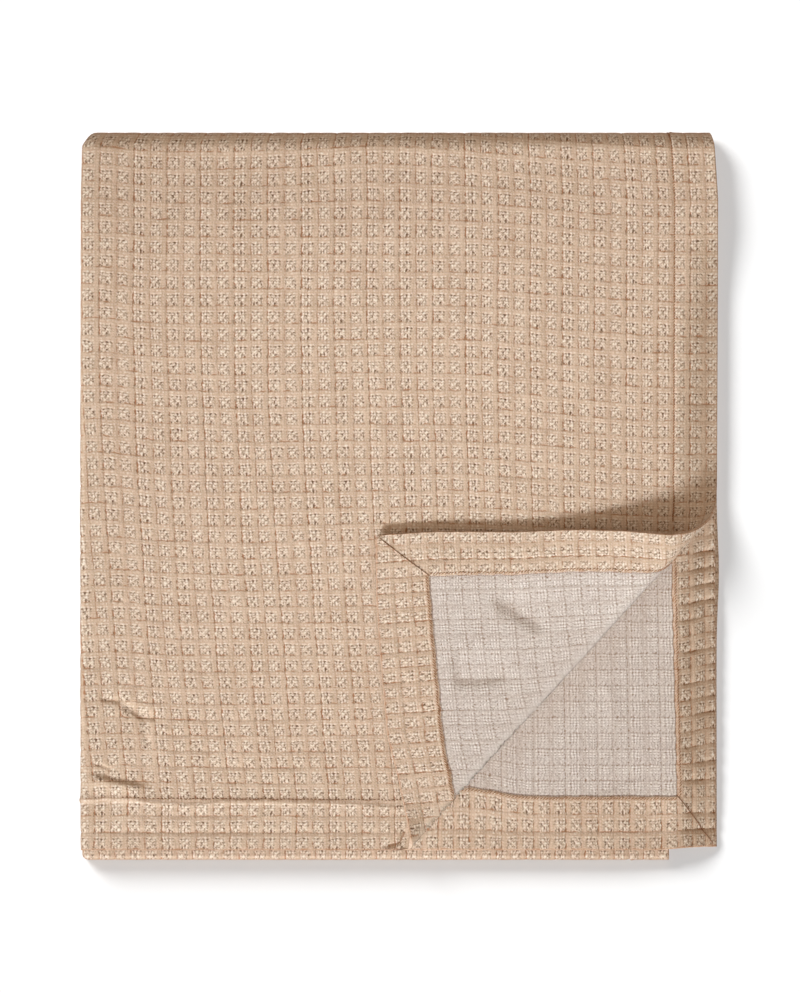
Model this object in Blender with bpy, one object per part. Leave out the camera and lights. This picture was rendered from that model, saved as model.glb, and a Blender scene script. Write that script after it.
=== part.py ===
"""A double-woven, crinkled jacquard bedspread with turned and mitred hems.

It lies folded in four across and in three along, face up, with one corner of the top layer
turned back over it so that the reverse shows. The whole is one sheet of cloth. It starts as a
flat slab with its hem band raised on the reverse. The slab is scored wherever the cloth bends,
and each of its points is then carried to its place in the folded stack.

Metres, +Z up, the origin under the middle of the stack. The stack's underside is at z = 0.
The cloth's own coordinates are u, across, counted from the hem at the right of the top layer,
and v, along, counted from the hem at the front of the top panel.
"""

import math

import bmesh
import bpy
import numpy as np

# The hemmed cloth laid flat.
CLOTH_WIDTH = 2.600
CLOTH_LENGTH = 2.200
THICKNESS = 0.0016
SIDE_HEM = 0.0445
END_HEM = 0.0520
HEM_SHOULDER = 0.0020
HEM_RISE = 0.0003

# The stack: layers across, panels along, and the distance from one layer to the next.
STACK_HEIGHT = 0.0360
LAYERS = 4
PANELS = 3
PITCH = STACK_HEIGHT / (LAYERS * PANELS)

# The layers' radii at the folds, counted to the middle of the cloth.
OUTER_SIDE_FOLD = 1.5 * PITCH
INNER_SIDE_FOLD = 0.5 * PITCH
BACK_FOLD = LAYERS * PITCH
FRONT_FOLD = 0.5 * LAYERS * PITCH
TOP_LAYER = 1.5 * PITCH

# How far the second layer's hem and the fold under it stay inside the top layer's hem.
SECOND_HEM_SETBACK = 0.0018
RIGHT_FOLD_SETBACK = 0.0010

# Where the top layer's hems and the panels end, from the middle of the stack.
FRONT_HEM_Y = -0.3620
BACK_EDGE_Y = 0.3713
FRONT_EDGE_Y = -0.3713

# The diagonal fold of the corner, as u and v of its ends on the side hem and the front hem.
# The crinkled cloth of the corner spreads a little once it is turned and free.
TURN_SIDE_END = (0.0020, 0.3450)
TURN_FRONT_END = (0.3170, -0.0015)
TURN_SPREAD = 1.040
TURN_SLIP = 0.018
TURN_EASE = 0.030
TURN_RADIUS = 0.0036
SIDE_LOOP_RADIUS, SIDE_LOOP_REACH = 0.0125, 0.070
FRONT_LOOP_RADIUS, FRONT_LOOP_REACH = 0.0045, 0.022
TURN_SETTLE = 0.050

# How far the turned corner's hems draw in, or spread where the amount is negative.
SIDE_HEM_DRAW = (
    # distance along the side hem from the corner, amount
    (0.060, 0.0005),
    (0.136, 0.0050),
    (0.200, 0.0056),
    (0.245, 0.0080),
    (0.288, 0.0120),
    (0.320, 0.0060),
    (0.345, 0.0),
)
SIDE_DRAW_REACH = 0.300
END_HEM_DRAW = (
    # distance along the front hem from the corner, amount
    (0.0, 0.0),
    (0.060, -0.0060),
    (0.110, -0.0082),
    (0.200, -0.0100),
    (0.240, -0.0040),
    (0.285, 0.0),
)
END_DRAW_REACH = 0.090

# The top panel hangs past the shorter panels under it at the right.
HANG_DEPTH = 0.0170
HANG_REACH = 0.062
HANG_START = 0.001
HANG_BACK_REACH = 0.150

# Its front hem comes up a little towards the right, and the fold beside the second layer's
# hem bulges out under the start of the corner's turn.
FRONT_HEM_RISE, FRONT_HEM_RISE_START, FRONT_HEM_RISE_REACH = 0.0035, 0.255, 0.060
BULGE, BULGE_PLACE, BULGE_LENGTH, BULGE_DEPTH = 0.0026, 0.286, 0.045, 0.040

# The edges of the stack, followed along the cloth from the front hem of the top panel.
EDGE_STATIONS = (
    # place, left edge x, right edge x
    ("front hem", -0.3248, 0.3248),
    ("top panel, middle", -0.3254, 0.3244),
    ("top panel, back", -0.3246, 0.3258),
    ("back fold, top", -0.3234, 0.3223),
    ("back fold, middle", -0.3142, 0.3173),
    ("back fold, under", -0.3142, 0.3128),
    ("lowest panel, back", -0.3162, 0.2908),
    ("lowest panel, middle", -0.3202, 0.2788),
    ("front fold, under", -0.3234, 0.2756),
    ("front fold, over", -0.3234, 0.2756),
    ("inner panel, middle", -0.3202, 0.2788),
    ("inner panel, back", -0.3162, 0.2908),
    ("inner hem", -0.3148, 0.3061),
)

# Soft swells of the top panel, where its layers lie a little loose.
SWELLS = (
    # x, y, half length, half width, turn in degrees, rise
    (-0.250, -0.225, 0.120, 0.070, 35.0, 0.0016),
    (-0.130, -0.040, 0.180, 0.080, 10.0, 0.0012),
    (0.100, 0.170, 0.200, 0.090, -20.0, 0.0014),
    (-0.200, 0.220, 0.150, 0.080, 25.0, 0.0010),
)

# How finely each part of the cloth is scored. Each layer has the same scores where it hangs,
# so that the layers bend alike there.
OUTER_FOLD_STEPS = 4
INNER_FOLD_STEPS = 3
BACK_FOLD_STEPS = 6
FRONT_FOLD_STEPS = 6
CORNER_SPACING = 0.050
OPEN_SPACING = 0.078
HIDDEN_SPACING = 0.110
PANEL_SHARES = (0.13, 0.35, 0.67)
HANG_SCORES = (0.0145, 0.0290, SIDE_HEM, SIDE_HEM + HEM_SHOULDER, 0.0600)
TURN_SCORES = (0.0, 0.0028, 0.0056, 0.0084, 0.0113, 0.0165, 0.0225, 0.0290, 0.0360, 0.0450)

SLOPE_STEP = 0.0003
SAME_PLACE = 1e-7
CLOTH_COLOUR = (0.610, 0.456, 0.337, 1.0)

# Lengths of cloth in each run of the section across, from the right hem of the top layer.
SIDE_ARCS = math.pi * (OUTER_SIDE_FOLD + 2.0 * INNER_SIDE_FOLD)
SETBACKS = SECOND_HEM_SETBACK + 2.0 * (INNER_SIDE_FOLD + RIGHT_FOLD_SETBACK)
TOP_RUN = (CLOTH_WIDTH - SIDE_ARCS + SETBACKS) / LAYERS
FOLDED_RUN = TOP_RUN - INNER_SIDE_FOLD - RIGHT_FOLD_SETBACK
SECOND_RUN = TOP_RUN - SECOND_HEM_SETBACK
SECTION_RUNS = (
    TOP_RUN,
    math.pi * OUTER_SIDE_FOLD,
    FOLDED_RUN,
    math.pi * INNER_SIDE_FOLD,
    FOLDED_RUN,
    math.pi * INNER_SIDE_FOLD,
    SECOND_RUN,
)
SECTION_ENDS = np.cumsum((0.0, *SECTION_RUNS))
SECTION_WIDTH = TOP_RUN + OUTER_SIDE_FOLD

# Lengths of cloth in each run of the route along, measured on the outermost layer.
BACK_RADIUS = BACK_FOLD + TOP_LAYER
FRONT_RADIUS = FRONT_FOLD + TOP_LAYER
BACK_CENTRE_Y = BACK_EDGE_Y - BACK_RADIUS - 0.5 * THICKNESS
FRONT_CENTRE_Y = FRONT_EDGE_Y + FRONT_RADIUS + 0.5 * THICKNESS
TOP_PANEL = BACK_CENTRE_Y - FRONT_HEM_Y
LOWEST_PANEL = BACK_CENTRE_Y - FRONT_CENTRE_Y
BACK_ARC = math.pi * BACK_RADIUS
FRONT_ARC = math.pi * FRONT_RADIUS
INNER_PANEL = CLOTH_LENGTH - TOP_PANEL - BACK_ARC - LOWEST_PANEL - FRONT_ARC
ROUTE_RUNS = (TOP_PANEL, BACK_ARC, LOWEST_PANEL, FRONT_ARC, INNER_PANEL)
ROUTE_ENDS = np.cumsum((0.0, *ROUTE_RUNS))
EDGE_PLACES = {
    "front hem": 0.0,
    "top panel, middle": 0.45 * TOP_PANEL,
    "top panel, back": 0.93 * TOP_PANEL,
    "back fold, top": ROUTE_ENDS[1] + 0.10 * BACK_ARC,
    "back fold, middle": ROUTE_ENDS[1] + 0.50 * BACK_ARC,
    "back fold, under": ROUTE_ENDS[2],
    "lowest panel, back": ROUTE_ENDS[2] + PANEL_SHARES[0] * LOWEST_PANEL,
    "lowest panel, middle": ROUTE_ENDS[2] + PANEL_SHARES[1] * LOWEST_PANEL,
    "front fold, under": ROUTE_ENDS[3],
    "front fold, over": ROUTE_ENDS[4],
    "inner panel, middle": ROUTE_ENDS[4] + (1.0 - PANEL_SHARES[1]) * LOWEST_PANEL,
    "inner panel, back": ROUTE_ENDS[4] + (1.0 - PANEL_SHARES[0]) * LOWEST_PANEL,
    "inner hem": ROUTE_ENDS[5],
}


def edge(v, column):
    """The x of the stack's left edge, column 1, or right edge, column 2, for cloth at v."""
    stations = [EDGE_PLACES[row[0]] for row in EDGE_STATIONS]
    return np.interp(v, stations, [row[column] for row in EDGE_STATIONS])


def smooth(share):
    """A smooth step from 0 to 1."""
    share = np.clip(share, 0.0, 1.0)
    return share * share * (3.0 - 2.0 * share)


def diagonal():
    """The corner's fold: its start, its direction, the way to the corner, and its length."""
    start, end = np.array(TURN_SIDE_END), np.array(TURN_FRONT_END)
    length = np.linalg.norm(end - start)
    line = (end - start) / length
    return start, line, np.array((line[1], -line[0])), length


def section(u):
    """Place across and height over the middle of the four layers, for cloth at u.

    The top layer runs left, turns under into the lowest, comes back left as the third and
    right again as the second.
    """
    runs = [u - start for start in SECTION_ENDS[:-1]]
    outer = runs[1] / OUTER_SIDE_FOLD
    right = runs[3] / INNER_SIDE_FOLD
    inner = runs[5] / INNER_SIDE_FOLD
    where = [u < end for end in SECTION_ENDS[1:-1]]
    across = np.select(
        where,
        [
            TOP_RUN - runs[0],
            -OUTER_SIDE_FOLD * np.sin(outer),
            runs[2],
            FOLDED_RUN + INNER_SIDE_FOLD * np.sin(right),
            FOLDED_RUN - runs[4],
            -INNER_SIDE_FOLD * np.sin(inner),
        ],
        runs[6],
    )
    level = np.full_like(u, OUTER_SIDE_FOLD)
    height = np.select(
        where,
        [
            level,
            OUTER_SIDE_FOLD * np.cos(outer),
            -level,
            -PITCH - INNER_SIDE_FOLD * np.cos(right),
            -level + PITCH,
            -INNER_SIDE_FOLD * np.cos(inner),
        ],
        level - PITCH,
    )
    return across, height


def route(v):
    """Place along and height of the middle of the four layers, and their outward normal."""
    back = (v - ROUTE_ENDS[1]) / BACK_RADIUS
    front = (v - ROUTE_ENDS[3]) / FRONT_RADIUS
    low = 0.5 * LAYERS * PITCH
    back_height = low + BACK_FOLD
    front_height = low + FRONT_FOLD
    where = [v < end for end in ROUTE_ENDS[1:-1]]
    zero, one = np.zeros_like(v), np.ones_like(v)
    y = np.select(
        where,
        [
            FRONT_HEM_Y + v,
            BACK_CENTRE_Y + BACK_FOLD * np.sin(back),
            BACK_CENTRE_Y - (v - ROUTE_ENDS[2]),
            FRONT_CENTRE_Y - FRONT_FOLD * np.sin(front),
        ],
        FRONT_CENTRE_Y + (v - ROUTE_ENDS[4]),
    )
    z = np.select(
        where,
        [
            one * (back_height + BACK_FOLD),
            back_height + BACK_FOLD * np.cos(back),
            one * low,
            front_height - FRONT_FOLD * np.cos(front),
        ],
        one * (front_height + FRONT_FOLD),
    )
    out_y = np.select(where, [zero, np.sin(back), zero, -np.sin(front)], zero)
    out_z = np.select(where, [one, np.cos(back), -one, -np.cos(front)], one)
    return y, z, out_y, out_z


def turned_corner(u, v):
    """The corner of the top layer folded back: its new u and v, and its lift off the layer."""
    start, line, over, length = diagonal()
    past = (u - start[0]) * over[0] + (v - start[1]) * over[1]
    freed = smooth(past / TURN_EASE)
    side_draw = np.interp(v, *zip(*SIDE_HEM_DRAW, strict=True)) * np.exp(-u / SIDE_DRAW_REACH)
    end_draw = np.interp(u, *zip(*END_HEM_DRAW, strict=True)) * np.exp(-v / END_DRAW_REACH)
    u, v = u + side_draw * freed, v + end_draw * freed
    along = (u - start[0]) * line[0] + (v - start[1]) * line[1]
    past = (u - start[0]) * over[0] + (v - start[1]) * over[1]
    from_side = np.maximum(along, 0.0) / SIDE_LOOP_REACH
    from_front = np.maximum(length - along, 0.0) / FRONT_LOOP_REACH
    side_loop = SIDE_LOOP_RADIUS * np.exp(-(from_side**2))
    front_loop = FRONT_LOOP_RADIUS * np.exp(-(from_front**2))
    radius = TURN_RADIUS + side_loop + front_loop
    axis = -(radius + 0.5 * THICKNESS)
    run = past * np.where(past > 0.0, TURN_SPREAD, 1.0) - axis
    angle = np.clip(run / radius, 0.0, math.pi)
    beyond = np.maximum(run - math.pi * radius, 0.0)
    settle = beyond / TURN_SETTLE
    settled = (1.0 + settle) * np.exp(-settle)
    rolled = radius * (1.0 - np.cos(angle))
    laid = PITCH + (2.0 * radius - PITCH) * settled
    new_past = axis + radius * np.sin(angle) - beyond
    new_along = along - TURN_SLIP * beyond
    turned = (run > 0.0) & (u < TOP_RUN) & (v < TOP_PANEL)
    new_u = start[0] + new_along * line[0] + new_past * over[0]
    new_v = start[1] + new_along * line[1] + new_past * over[1]
    lift = np.where(beyond > 0.0, laid, rolled)
    return np.where(turned, new_u, u), np.where(turned, new_v, v), np.where(turned, lift, 0.0)


def hang(x, y, v):
    """How far the top panel drops where it passes the ends of the panels under it."""
    under = ROUTE_ENDS[2] + BACK_CENTRE_Y - np.clip(y, FRONT_CENTRE_Y, BACK_CENTRE_Y)
    past = x - edge(under, 2) - HANG_START
    return HANG_DEPTH * smooth(past / HANG_REACH) * smooth((TOP_PANEL - v) / HANG_BACK_REACH)


def bulge(across, height, v):
    """How far the fold between the two lower layers stands out under the second one's hem."""
    near_fold = smooth((across - FOLDED_RUN) / BULGE_DEPTH + 1.0) * (height < 0.0)
    return BULGE * near_fold * np.exp(-(((v - BULGE_PLACE) / BULGE_LENGTH) ** 2))


def front_rise(x, v):
    """How far the top panel's front hem comes up towards its right corner."""
    share = smooth((x - FRONT_HEM_RISE_START) / FRONT_HEM_RISE_REACH)
    return FRONT_HEM_RISE * share * smooth(1.0 - v / FRONT_HEM_RISE_REACH)


def swell(x, y, v):
    """How far the top panel's looser places rise."""
    total = np.zeros_like(x)
    for middle_x, middle_y, half_length, half_width, turn, rise in SWELLS:
        cosine, sine = math.cos(math.radians(turn)), math.sin(math.radians(turn))
        long_way = ((x - middle_x) * cosine + (y - middle_y) * sine) / half_length
        short_way = ((y - middle_y) * cosine - (x - middle_x) * sine) / half_width
        total += rise * np.exp(-(long_way**2) - short_way**2)
    return total * smooth((TOP_PANEL - v) / HANG_BACK_REACH)


def folded(u, v):
    """Where the middle of the cloth's thickness at (u, v) lies in the stack."""
    u, v, lift = turned_corner(u, v)
    across, height = section(u)
    y, z, out_y, out_z = route(v)
    share = (across + OUTER_SIDE_FOLD) / SECTION_WIDTH
    x = edge(v, 1) * (1.0 - share) + edge(v, 2) * share
    x = x + bulge(across, height, v)
    y = y + front_rise(x, v)
    y = y + out_y * (height + lift)
    z = z + out_z * (height + lift)
    z = z + np.where(v < TOP_PANEL, swell(x, y, v) - hang(x, y, v), 0.0)
    return np.stack((x, y, z - 0.5 * (PITCH - THICKNESS)), axis=-1)


def spaced(start, end, spacing):
    """Even stations from start up to end, end left out."""
    count = max(1, round((end - start) / spacing))
    return [start + (end - start) * step / count for step in range(count)]


def stations_across():
    """Where the cloth is scored across its width."""
    ends = list(SECTION_ENDS)
    corner = TURN_FRONT_END[0] + 0.03
    hang_end = HANG_SCORES[-1]
    second_hem = CLOTH_WIDTH - SIDE_HEM
    found = [0.0, *HANG_SCORES[:-1], *spaced(hang_end, corner, CORNER_SPACING)]
    found += spaced(corner, ends[1], OPEN_SPACING)
    found += spaced(ends[1], ends[2], OUTER_SIDE_FOLD * math.pi / OUTER_FOLD_STEPS)
    found += spaced(ends[2], ends[2] + TOP_RUN - hang_end, HIDDEN_SPACING)
    found += [ends[2] + TOP_RUN - score for score in reversed(HANG_SCORES)]
    found += spaced(ends[3], ends[4], INNER_SIDE_FOLD * math.pi / INNER_FOLD_STEPS)
    found += [ends[4] + FOLDED_RUN - TOP_RUN + score for score in HANG_SCORES[:-1]]
    found += spaced(ends[4] + FOLDED_RUN - TOP_RUN + hang_end, ends[5], HIDDEN_SPACING)
    found += spaced(ends[5], ends[6], INNER_SIDE_FOLD * math.pi / INNER_FOLD_STEPS)
    found += spaced(ends[6], ends[6] + TOP_RUN - hang_end, OPEN_SPACING)
    found += [ends[6] + TOP_RUN - score for score in reversed(HANG_SCORES)]
    found += [second_hem - HEM_SHOULDER, second_hem, CLOTH_WIDTH]
    return sorted({*found, ends[4]})


def stations_along():
    """Where the cloth is scored along its length."""
    ends = list(ROUTE_ENDS)
    corner = TURN_SIDE_END[1] + 0.03
    inner_hem = CLOTH_LENGTH - END_HEM
    found = [0.0, END_HEM, *spaced(END_HEM + HEM_SHOULDER, corner, CORNER_SPACING)]
    found += spaced(corner, ends[1], OPEN_SPACING)
    found += spaced(ends[1], ends[2], BACK_ARC / BACK_FOLD_STEPS)
    found += [ends[2] + share * LOWEST_PANEL for share in (0.0, *PANEL_SHARES)]
    found += spaced(ends[3], ends[4], FRONT_ARC / FRONT_FOLD_STEPS)
    found += [ends[4]]
    found += [ends[4] + (1.0 - share) * LOWEST_PANEL for share in reversed(PANEL_SHARES)]
    return [*found, inner_hem - HEM_SHOULDER, inner_hem, CLOTH_LENGTH]


def cut(slab, faces, point, normal):
    """Scores these faces of the slab along a plane."""
    sides = dict.fromkeys(side for face in faces for side in face.edges)
    corners = dict.fromkeys(corner for face in faces for corner in face.verts)
    bmesh.ops.bisect_plane(
        slab,
        geom=[*faces, *sides, *corners],
        dist=SAME_PLACE,
        plane_co=point,
        plane_no=normal,
    )


def flat_slab():
    """The flat cloth, scored, with x for u, y for v and z for the side, the face at +z."""
    slab = bmesh.new()
    bmesh.ops.create_cube(slab, size=1.0)
    size = (CLOTH_WIDTH, CLOTH_LENGTH, THICKNESS)
    bmesh.ops.scale(slab, vec=size, verts=slab.verts)
    bmesh.ops.translate(slab, vec=(0.5 * CLOTH_WIDTH, 0.5 * CLOTH_LENGTH, 0.0), verts=slab.verts)
    for u in stations_across()[1:-1]:
        cut(slab, slab.faces[:], (u, 0.0, 0.0), (1.0, 0.0, 0.0))
    for v in stations_along()[1:-1]:
        cut(slab, slab.faces[:], (0.0, v, 0.0), (0.0, 1.0, 0.0))
    return slab


def score_corner(slab):
    """Scores the corner of the top layer along the bend of its turn."""
    start, _, over, _ = diagonal()
    first = -(TURN_RADIUS + 0.5 * THICKNESS)
    reach_u, reach_v = TURN_FRONT_END[0] + 0.06, TURN_SIDE_END[1] + 0.06
    for distance in TURN_SCORES:
        point = start + (first + distance) * over
        middles = [(face, face.calc_center_median()) for face in slab.faces]
        faces = [face for face, middle in middles if middle.x < reach_u and middle.y < reach_v]
        cut(slab, faces, (*point, 0.0), (*over, 0.0))


def fold_slab(slab):
    """Carries each point of the flat slab to its place in the stack."""
    flat = np.array([tuple(corner.co) for corner in slab.verts])
    u, v, side = flat.T
    past_side = np.minimum(u, CLOTH_WIDTH - u) - SIDE_HEM
    past_end = np.minimum(v, CLOTH_LENGTH - v) - END_HEM
    past_hem = np.minimum(past_side, past_end)
    band = np.clip(1.0 - past_hem / HEM_SHOULDER, 0.0, 1.0)
    side = np.where(side < 0.0, side - HEM_RISE * band, side)
    across = folded(u + SLOPE_STEP, v) - folded(u - SLOPE_STEP, v)
    along = folded(u, v + SLOPE_STEP) - folded(u, v - SLOPE_STEP)
    normal = np.cross(along, across)
    normal /= np.linalg.norm(normal, axis=1, keepdims=True)
    places = folded(u, v) + normal * side[:, None]
    for corner, place in zip(slab.verts, places, strict=True):
        corner.co = place


def split_quads(slab):
    """Splits every quad the same way over, so that the layers' facets lie alike."""
    for face in [face for face in slab.faces if len(face.verts) == 4]:
        corners = face.verts[:]
        near = min(range(4), key=lambda index: corners[index].co.x + corners[index].co.y)
        bmesh.utils.face_split(face, corners[near], corners[(near + 2) % 4])


def cloth_material():
    """The warm beige of the woven face."""
    material = bpy.data.materials.new("woven_cloth")
    material.use_nodes = True
    shader = material.node_tree.nodes["Principled BSDF"]
    shader.inputs["Base Color"].default_value = CLOTH_COLOUR
    shader.inputs["Roughness"].default_value = 0.9
    shader.inputs["Metallic"].default_value = 0.0
    return material


def bedspread():
    """The folded bedspread as one closed body.

    u runs towards -x, so folding mirrors the slab and its faces are turned to point out again.
    """
    slab = flat_slab()
    score_corner(slab)
    many_sided = [face for face in slab.faces if len(face.verts) > 4]
    bmesh.ops.triangulate(slab, faces=many_sided)
    fold_slab(slab)
    split_quads(slab)
    bmesh.ops.reverse_faces(slab, faces=slab.faces[:])
    mesh = bpy.data.meshes.new("bedspread")
    slab.to_mesh(mesh)
    slab.free()
    mesh.materials.append(cloth_material())
    piece = bpy.data.objects.new("bedspread", mesh)
    bpy.context.scene.collection.objects.link(piece)
    return piece


def main():
    for old in list(bpy.data.objects):
        bpy.data.objects.remove(old, do_unlink=True)
    bedspread()


main()
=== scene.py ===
"""A double-woven jacquard bedspread, folded, with one corner of its top layer turned back.

The whole cloth is one sheet, mitre-hemmed all round. It starts as a flat slab with rounded
rims, is cut along the lines of its woven blocks wherever it shows, and each point is then
carried to its place in the folded stack. The puffed blocks, the sunk lines between them, the
hem's step and the creases are all in the mesh. The sewing thread is a piece of its own.

Metres, +Z up. The cloth's own coordinates are u, across, counted from the hem at the right of
the top layer, and v, along, counted from the hem at the front of the top panel.
"""

import logging
import math
from dataclasses import dataclass, replace
from enum import Enum
from typing import Iterable, Sequence, Union

import bmesh
import bpy
import numpy as np
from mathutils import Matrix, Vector

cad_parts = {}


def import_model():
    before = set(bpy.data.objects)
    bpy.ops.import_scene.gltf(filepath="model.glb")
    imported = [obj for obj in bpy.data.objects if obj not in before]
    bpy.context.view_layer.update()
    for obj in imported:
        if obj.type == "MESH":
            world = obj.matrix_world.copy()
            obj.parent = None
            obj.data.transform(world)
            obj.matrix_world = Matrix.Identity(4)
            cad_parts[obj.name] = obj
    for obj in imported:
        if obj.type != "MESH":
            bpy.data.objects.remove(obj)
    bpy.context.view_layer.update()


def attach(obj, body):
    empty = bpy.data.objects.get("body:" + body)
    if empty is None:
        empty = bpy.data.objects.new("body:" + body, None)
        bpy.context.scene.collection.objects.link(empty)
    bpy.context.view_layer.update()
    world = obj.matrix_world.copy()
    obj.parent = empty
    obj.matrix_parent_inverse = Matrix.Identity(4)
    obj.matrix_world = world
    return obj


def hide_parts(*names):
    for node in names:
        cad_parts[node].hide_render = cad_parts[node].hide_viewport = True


Array = np.ndarray
Arrays = tuple[np.ndarray, np.ndarray]
Pair = tuple[float, float]
Colour = tuple[float, float, float, float]
Slab = bmesh.types.BMesh
Mesh = bpy.types.Mesh
Thing = bpy.types.Object
Material = bpy.types.Material
Socket = bpy.types.NodeSocket
Sockets = bpy.types.bpy_prop_collection
Operand = Union[Socket, float]
Drawn = dict[str, Socket]

LOG = logging.getLogger("bedspread")
BODY = "root"
CAD_NODE = "bedspread"
WEAVE_MAP = "weave"
# the second map: distance from the diagonal fold, and the mask of painted shade on the stack's sides
FOLD_AND_SHADE_MAP = "turn"
ACROSS = (1.0, 0.0, 0.0)
ALONG = (0.0, 1.0, 0.0)
SAME_PLACE = 1e-7
SLOPE_STEP = 0.0003
LINES_BEFORE = 4  # block lines on each hem, numbered below 0
FIGURE_EDGE = (0.72, 0.60)  # where a block's charted figure starts to show, and shows in full


class Side(Enum):
    """The two sides of the cloth, as signs along its normal."""

    FACE = 1
    REVERSE = -1


class Finish(Enum):
    """Which finish a facet of the cloth wears, as its material index."""

    FACE = 0
    REVERSE = 1


def smooth(share: Array) -> Array:
    """A smooth step from 0 to 1."""
    share = np.clip(share, 0.0, 1.0)
    return share * share * (3.0 - 2.0 * share)


def hump(distance: Array) -> Array:
    """A soft rise that is 1 at no distance and all but gone at a distance of 2."""
    return np.exp(-np.square(distance))


def after(value: Array, place: float, reach: float) -> Array:
    """0 up to a place, rising smoothly to 1 over the reach past it."""
    return smooth((value - place) / reach)


def before(value: Array, place: float, reach: float) -> Array:
    """0 past a place, rising smoothly to 1 over the reach before it."""
    return smooth((place - value) / reach)


def near(value: Array, place: float, reach: float) -> Array:
    """1 at a place, fading softly over the reach on both sides of it."""
    return hump((value - place) / reach)


def ramped(start_and_rise: Pair, share: Array) -> Array:
    """A start, with this share of a rise added."""
    return start_and_rise[0] + start_and_rise[1] * share


def tone(red: int, green: int, blue: int) -> Colour:
    """A colour given as it looks on a screen, as the linear colour that a shader takes."""
    shares = np.array((red, green, blue)) / 255.0
    linear = np.where(shares <= 0.04045, shares / 12.92, ((shares + 0.055) / 1.055) ** 2.4)
    return (*(float(part) for part in linear), 1.0)


def middles(faces: Iterable[bmesh.types.BMFace]) -> Arrays:
    """The middles of these faces of the flat cloth, across it and along it."""
    places = np.array([tuple(face.calc_center_median()) for face in faces])
    return places[:, 0], places[:, 1]


def finished(mesh: Mesh, materials: Iterable[Material]) -> Thing:
    """A finished mesh as a piece of the scene.

    Args:
        mesh: the mesh.
        materials: what it is made of, by material index.

    Returns:
        The piece.
    """
    for material in materials:
        mesh.materials.append(material)
    mesh.shade_smooth()
    return placed(bpy.data.objects.new(mesh.name, mesh))


def matte(name: str, roughness: float, specular: float = 0.5) -> tuple[Material, Sockets]:
    """A new material.

    Args:
        name: its name.
        roughness: its shader's roughness.
        specular: its shader's specular level.

    Returns:
        The material, and the inputs of its shader.
    """
    made = bpy.data.materials.new(name)
    made.use_nodes = True
    inputs = made.node_tree.nodes["Principled BSDF"].inputs
    inputs["Roughness"].default_value = roughness
    inputs["Specular IOR Level"].default_value = specular
    return made, inputs


def placed(thing: Thing) -> Thing:
    """The thing, put into the scene."""
    bpy.context.scene.collection.objects.link(thing)
    return thing


@dataclass(frozen=True)
class ClothSize:
    """The hemmed cloth laid flat."""

    width: float = 2.600
    length: float = 2.200
    thickness: float = 0.0016
    side_hem: float = 0.0445
    end_hem: float = 0.0520
    rim: float = 0.00072
    corner: float = 0.0045
    hidden_hem_rise: float = 0.0003
    shown_hem_rise: float = 0.0009
    hem_edge: float = 0.0007
    hem_ridge: float = 0.0008
    hem_groove: float = 0.0008
    hem_ridge_inset: float = 0.0030
    hem_ridge_line: tuple[Pair, ...] = (
        # place across the cloth, how far the ridge lies inside the front hem's edge
        (0.320, 0.0110), (0.360, 0.0080), (0.420, 0.0045), (0.480, 0.0035), (0.533, 0.0035),
        (0.568, 0.0072), (0.603, 0.0048), (0.649, 0.0012),
    )
    corner_rounds: Pair = (0.0030, 0.0110)

    def rounded(self, u: Array, v: Array) -> Arrays:
        """Draws the places near the cloth's square corners in, so that they round off.

        Args:
            u, v: places on the cloth.

        Returns:
            The new places.
        """
        left, front = u < 0.5 * self.width, v < 0.5 * self.length
        reach = np.where(left, *self.corner_rounds)
        across = np.maximum(reach - np.where(left, u, self.width - u), 0.0)
        along = np.maximum(reach - np.where(front, v, self.length - v), 0.0)
        longest = np.maximum(np.maximum(across, along), 1e-9)
        kept = longest / np.maximum(np.hypot(across, along), 1e-9)
        kept = np.where(np.minimum(across, along) > 0.0, kept, 1.0)
        across, along = across * (1.0 - kept), along * (1.0 - kept)
        return u + np.where(left, across, -across), v + np.where(front, along, -along)


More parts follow.
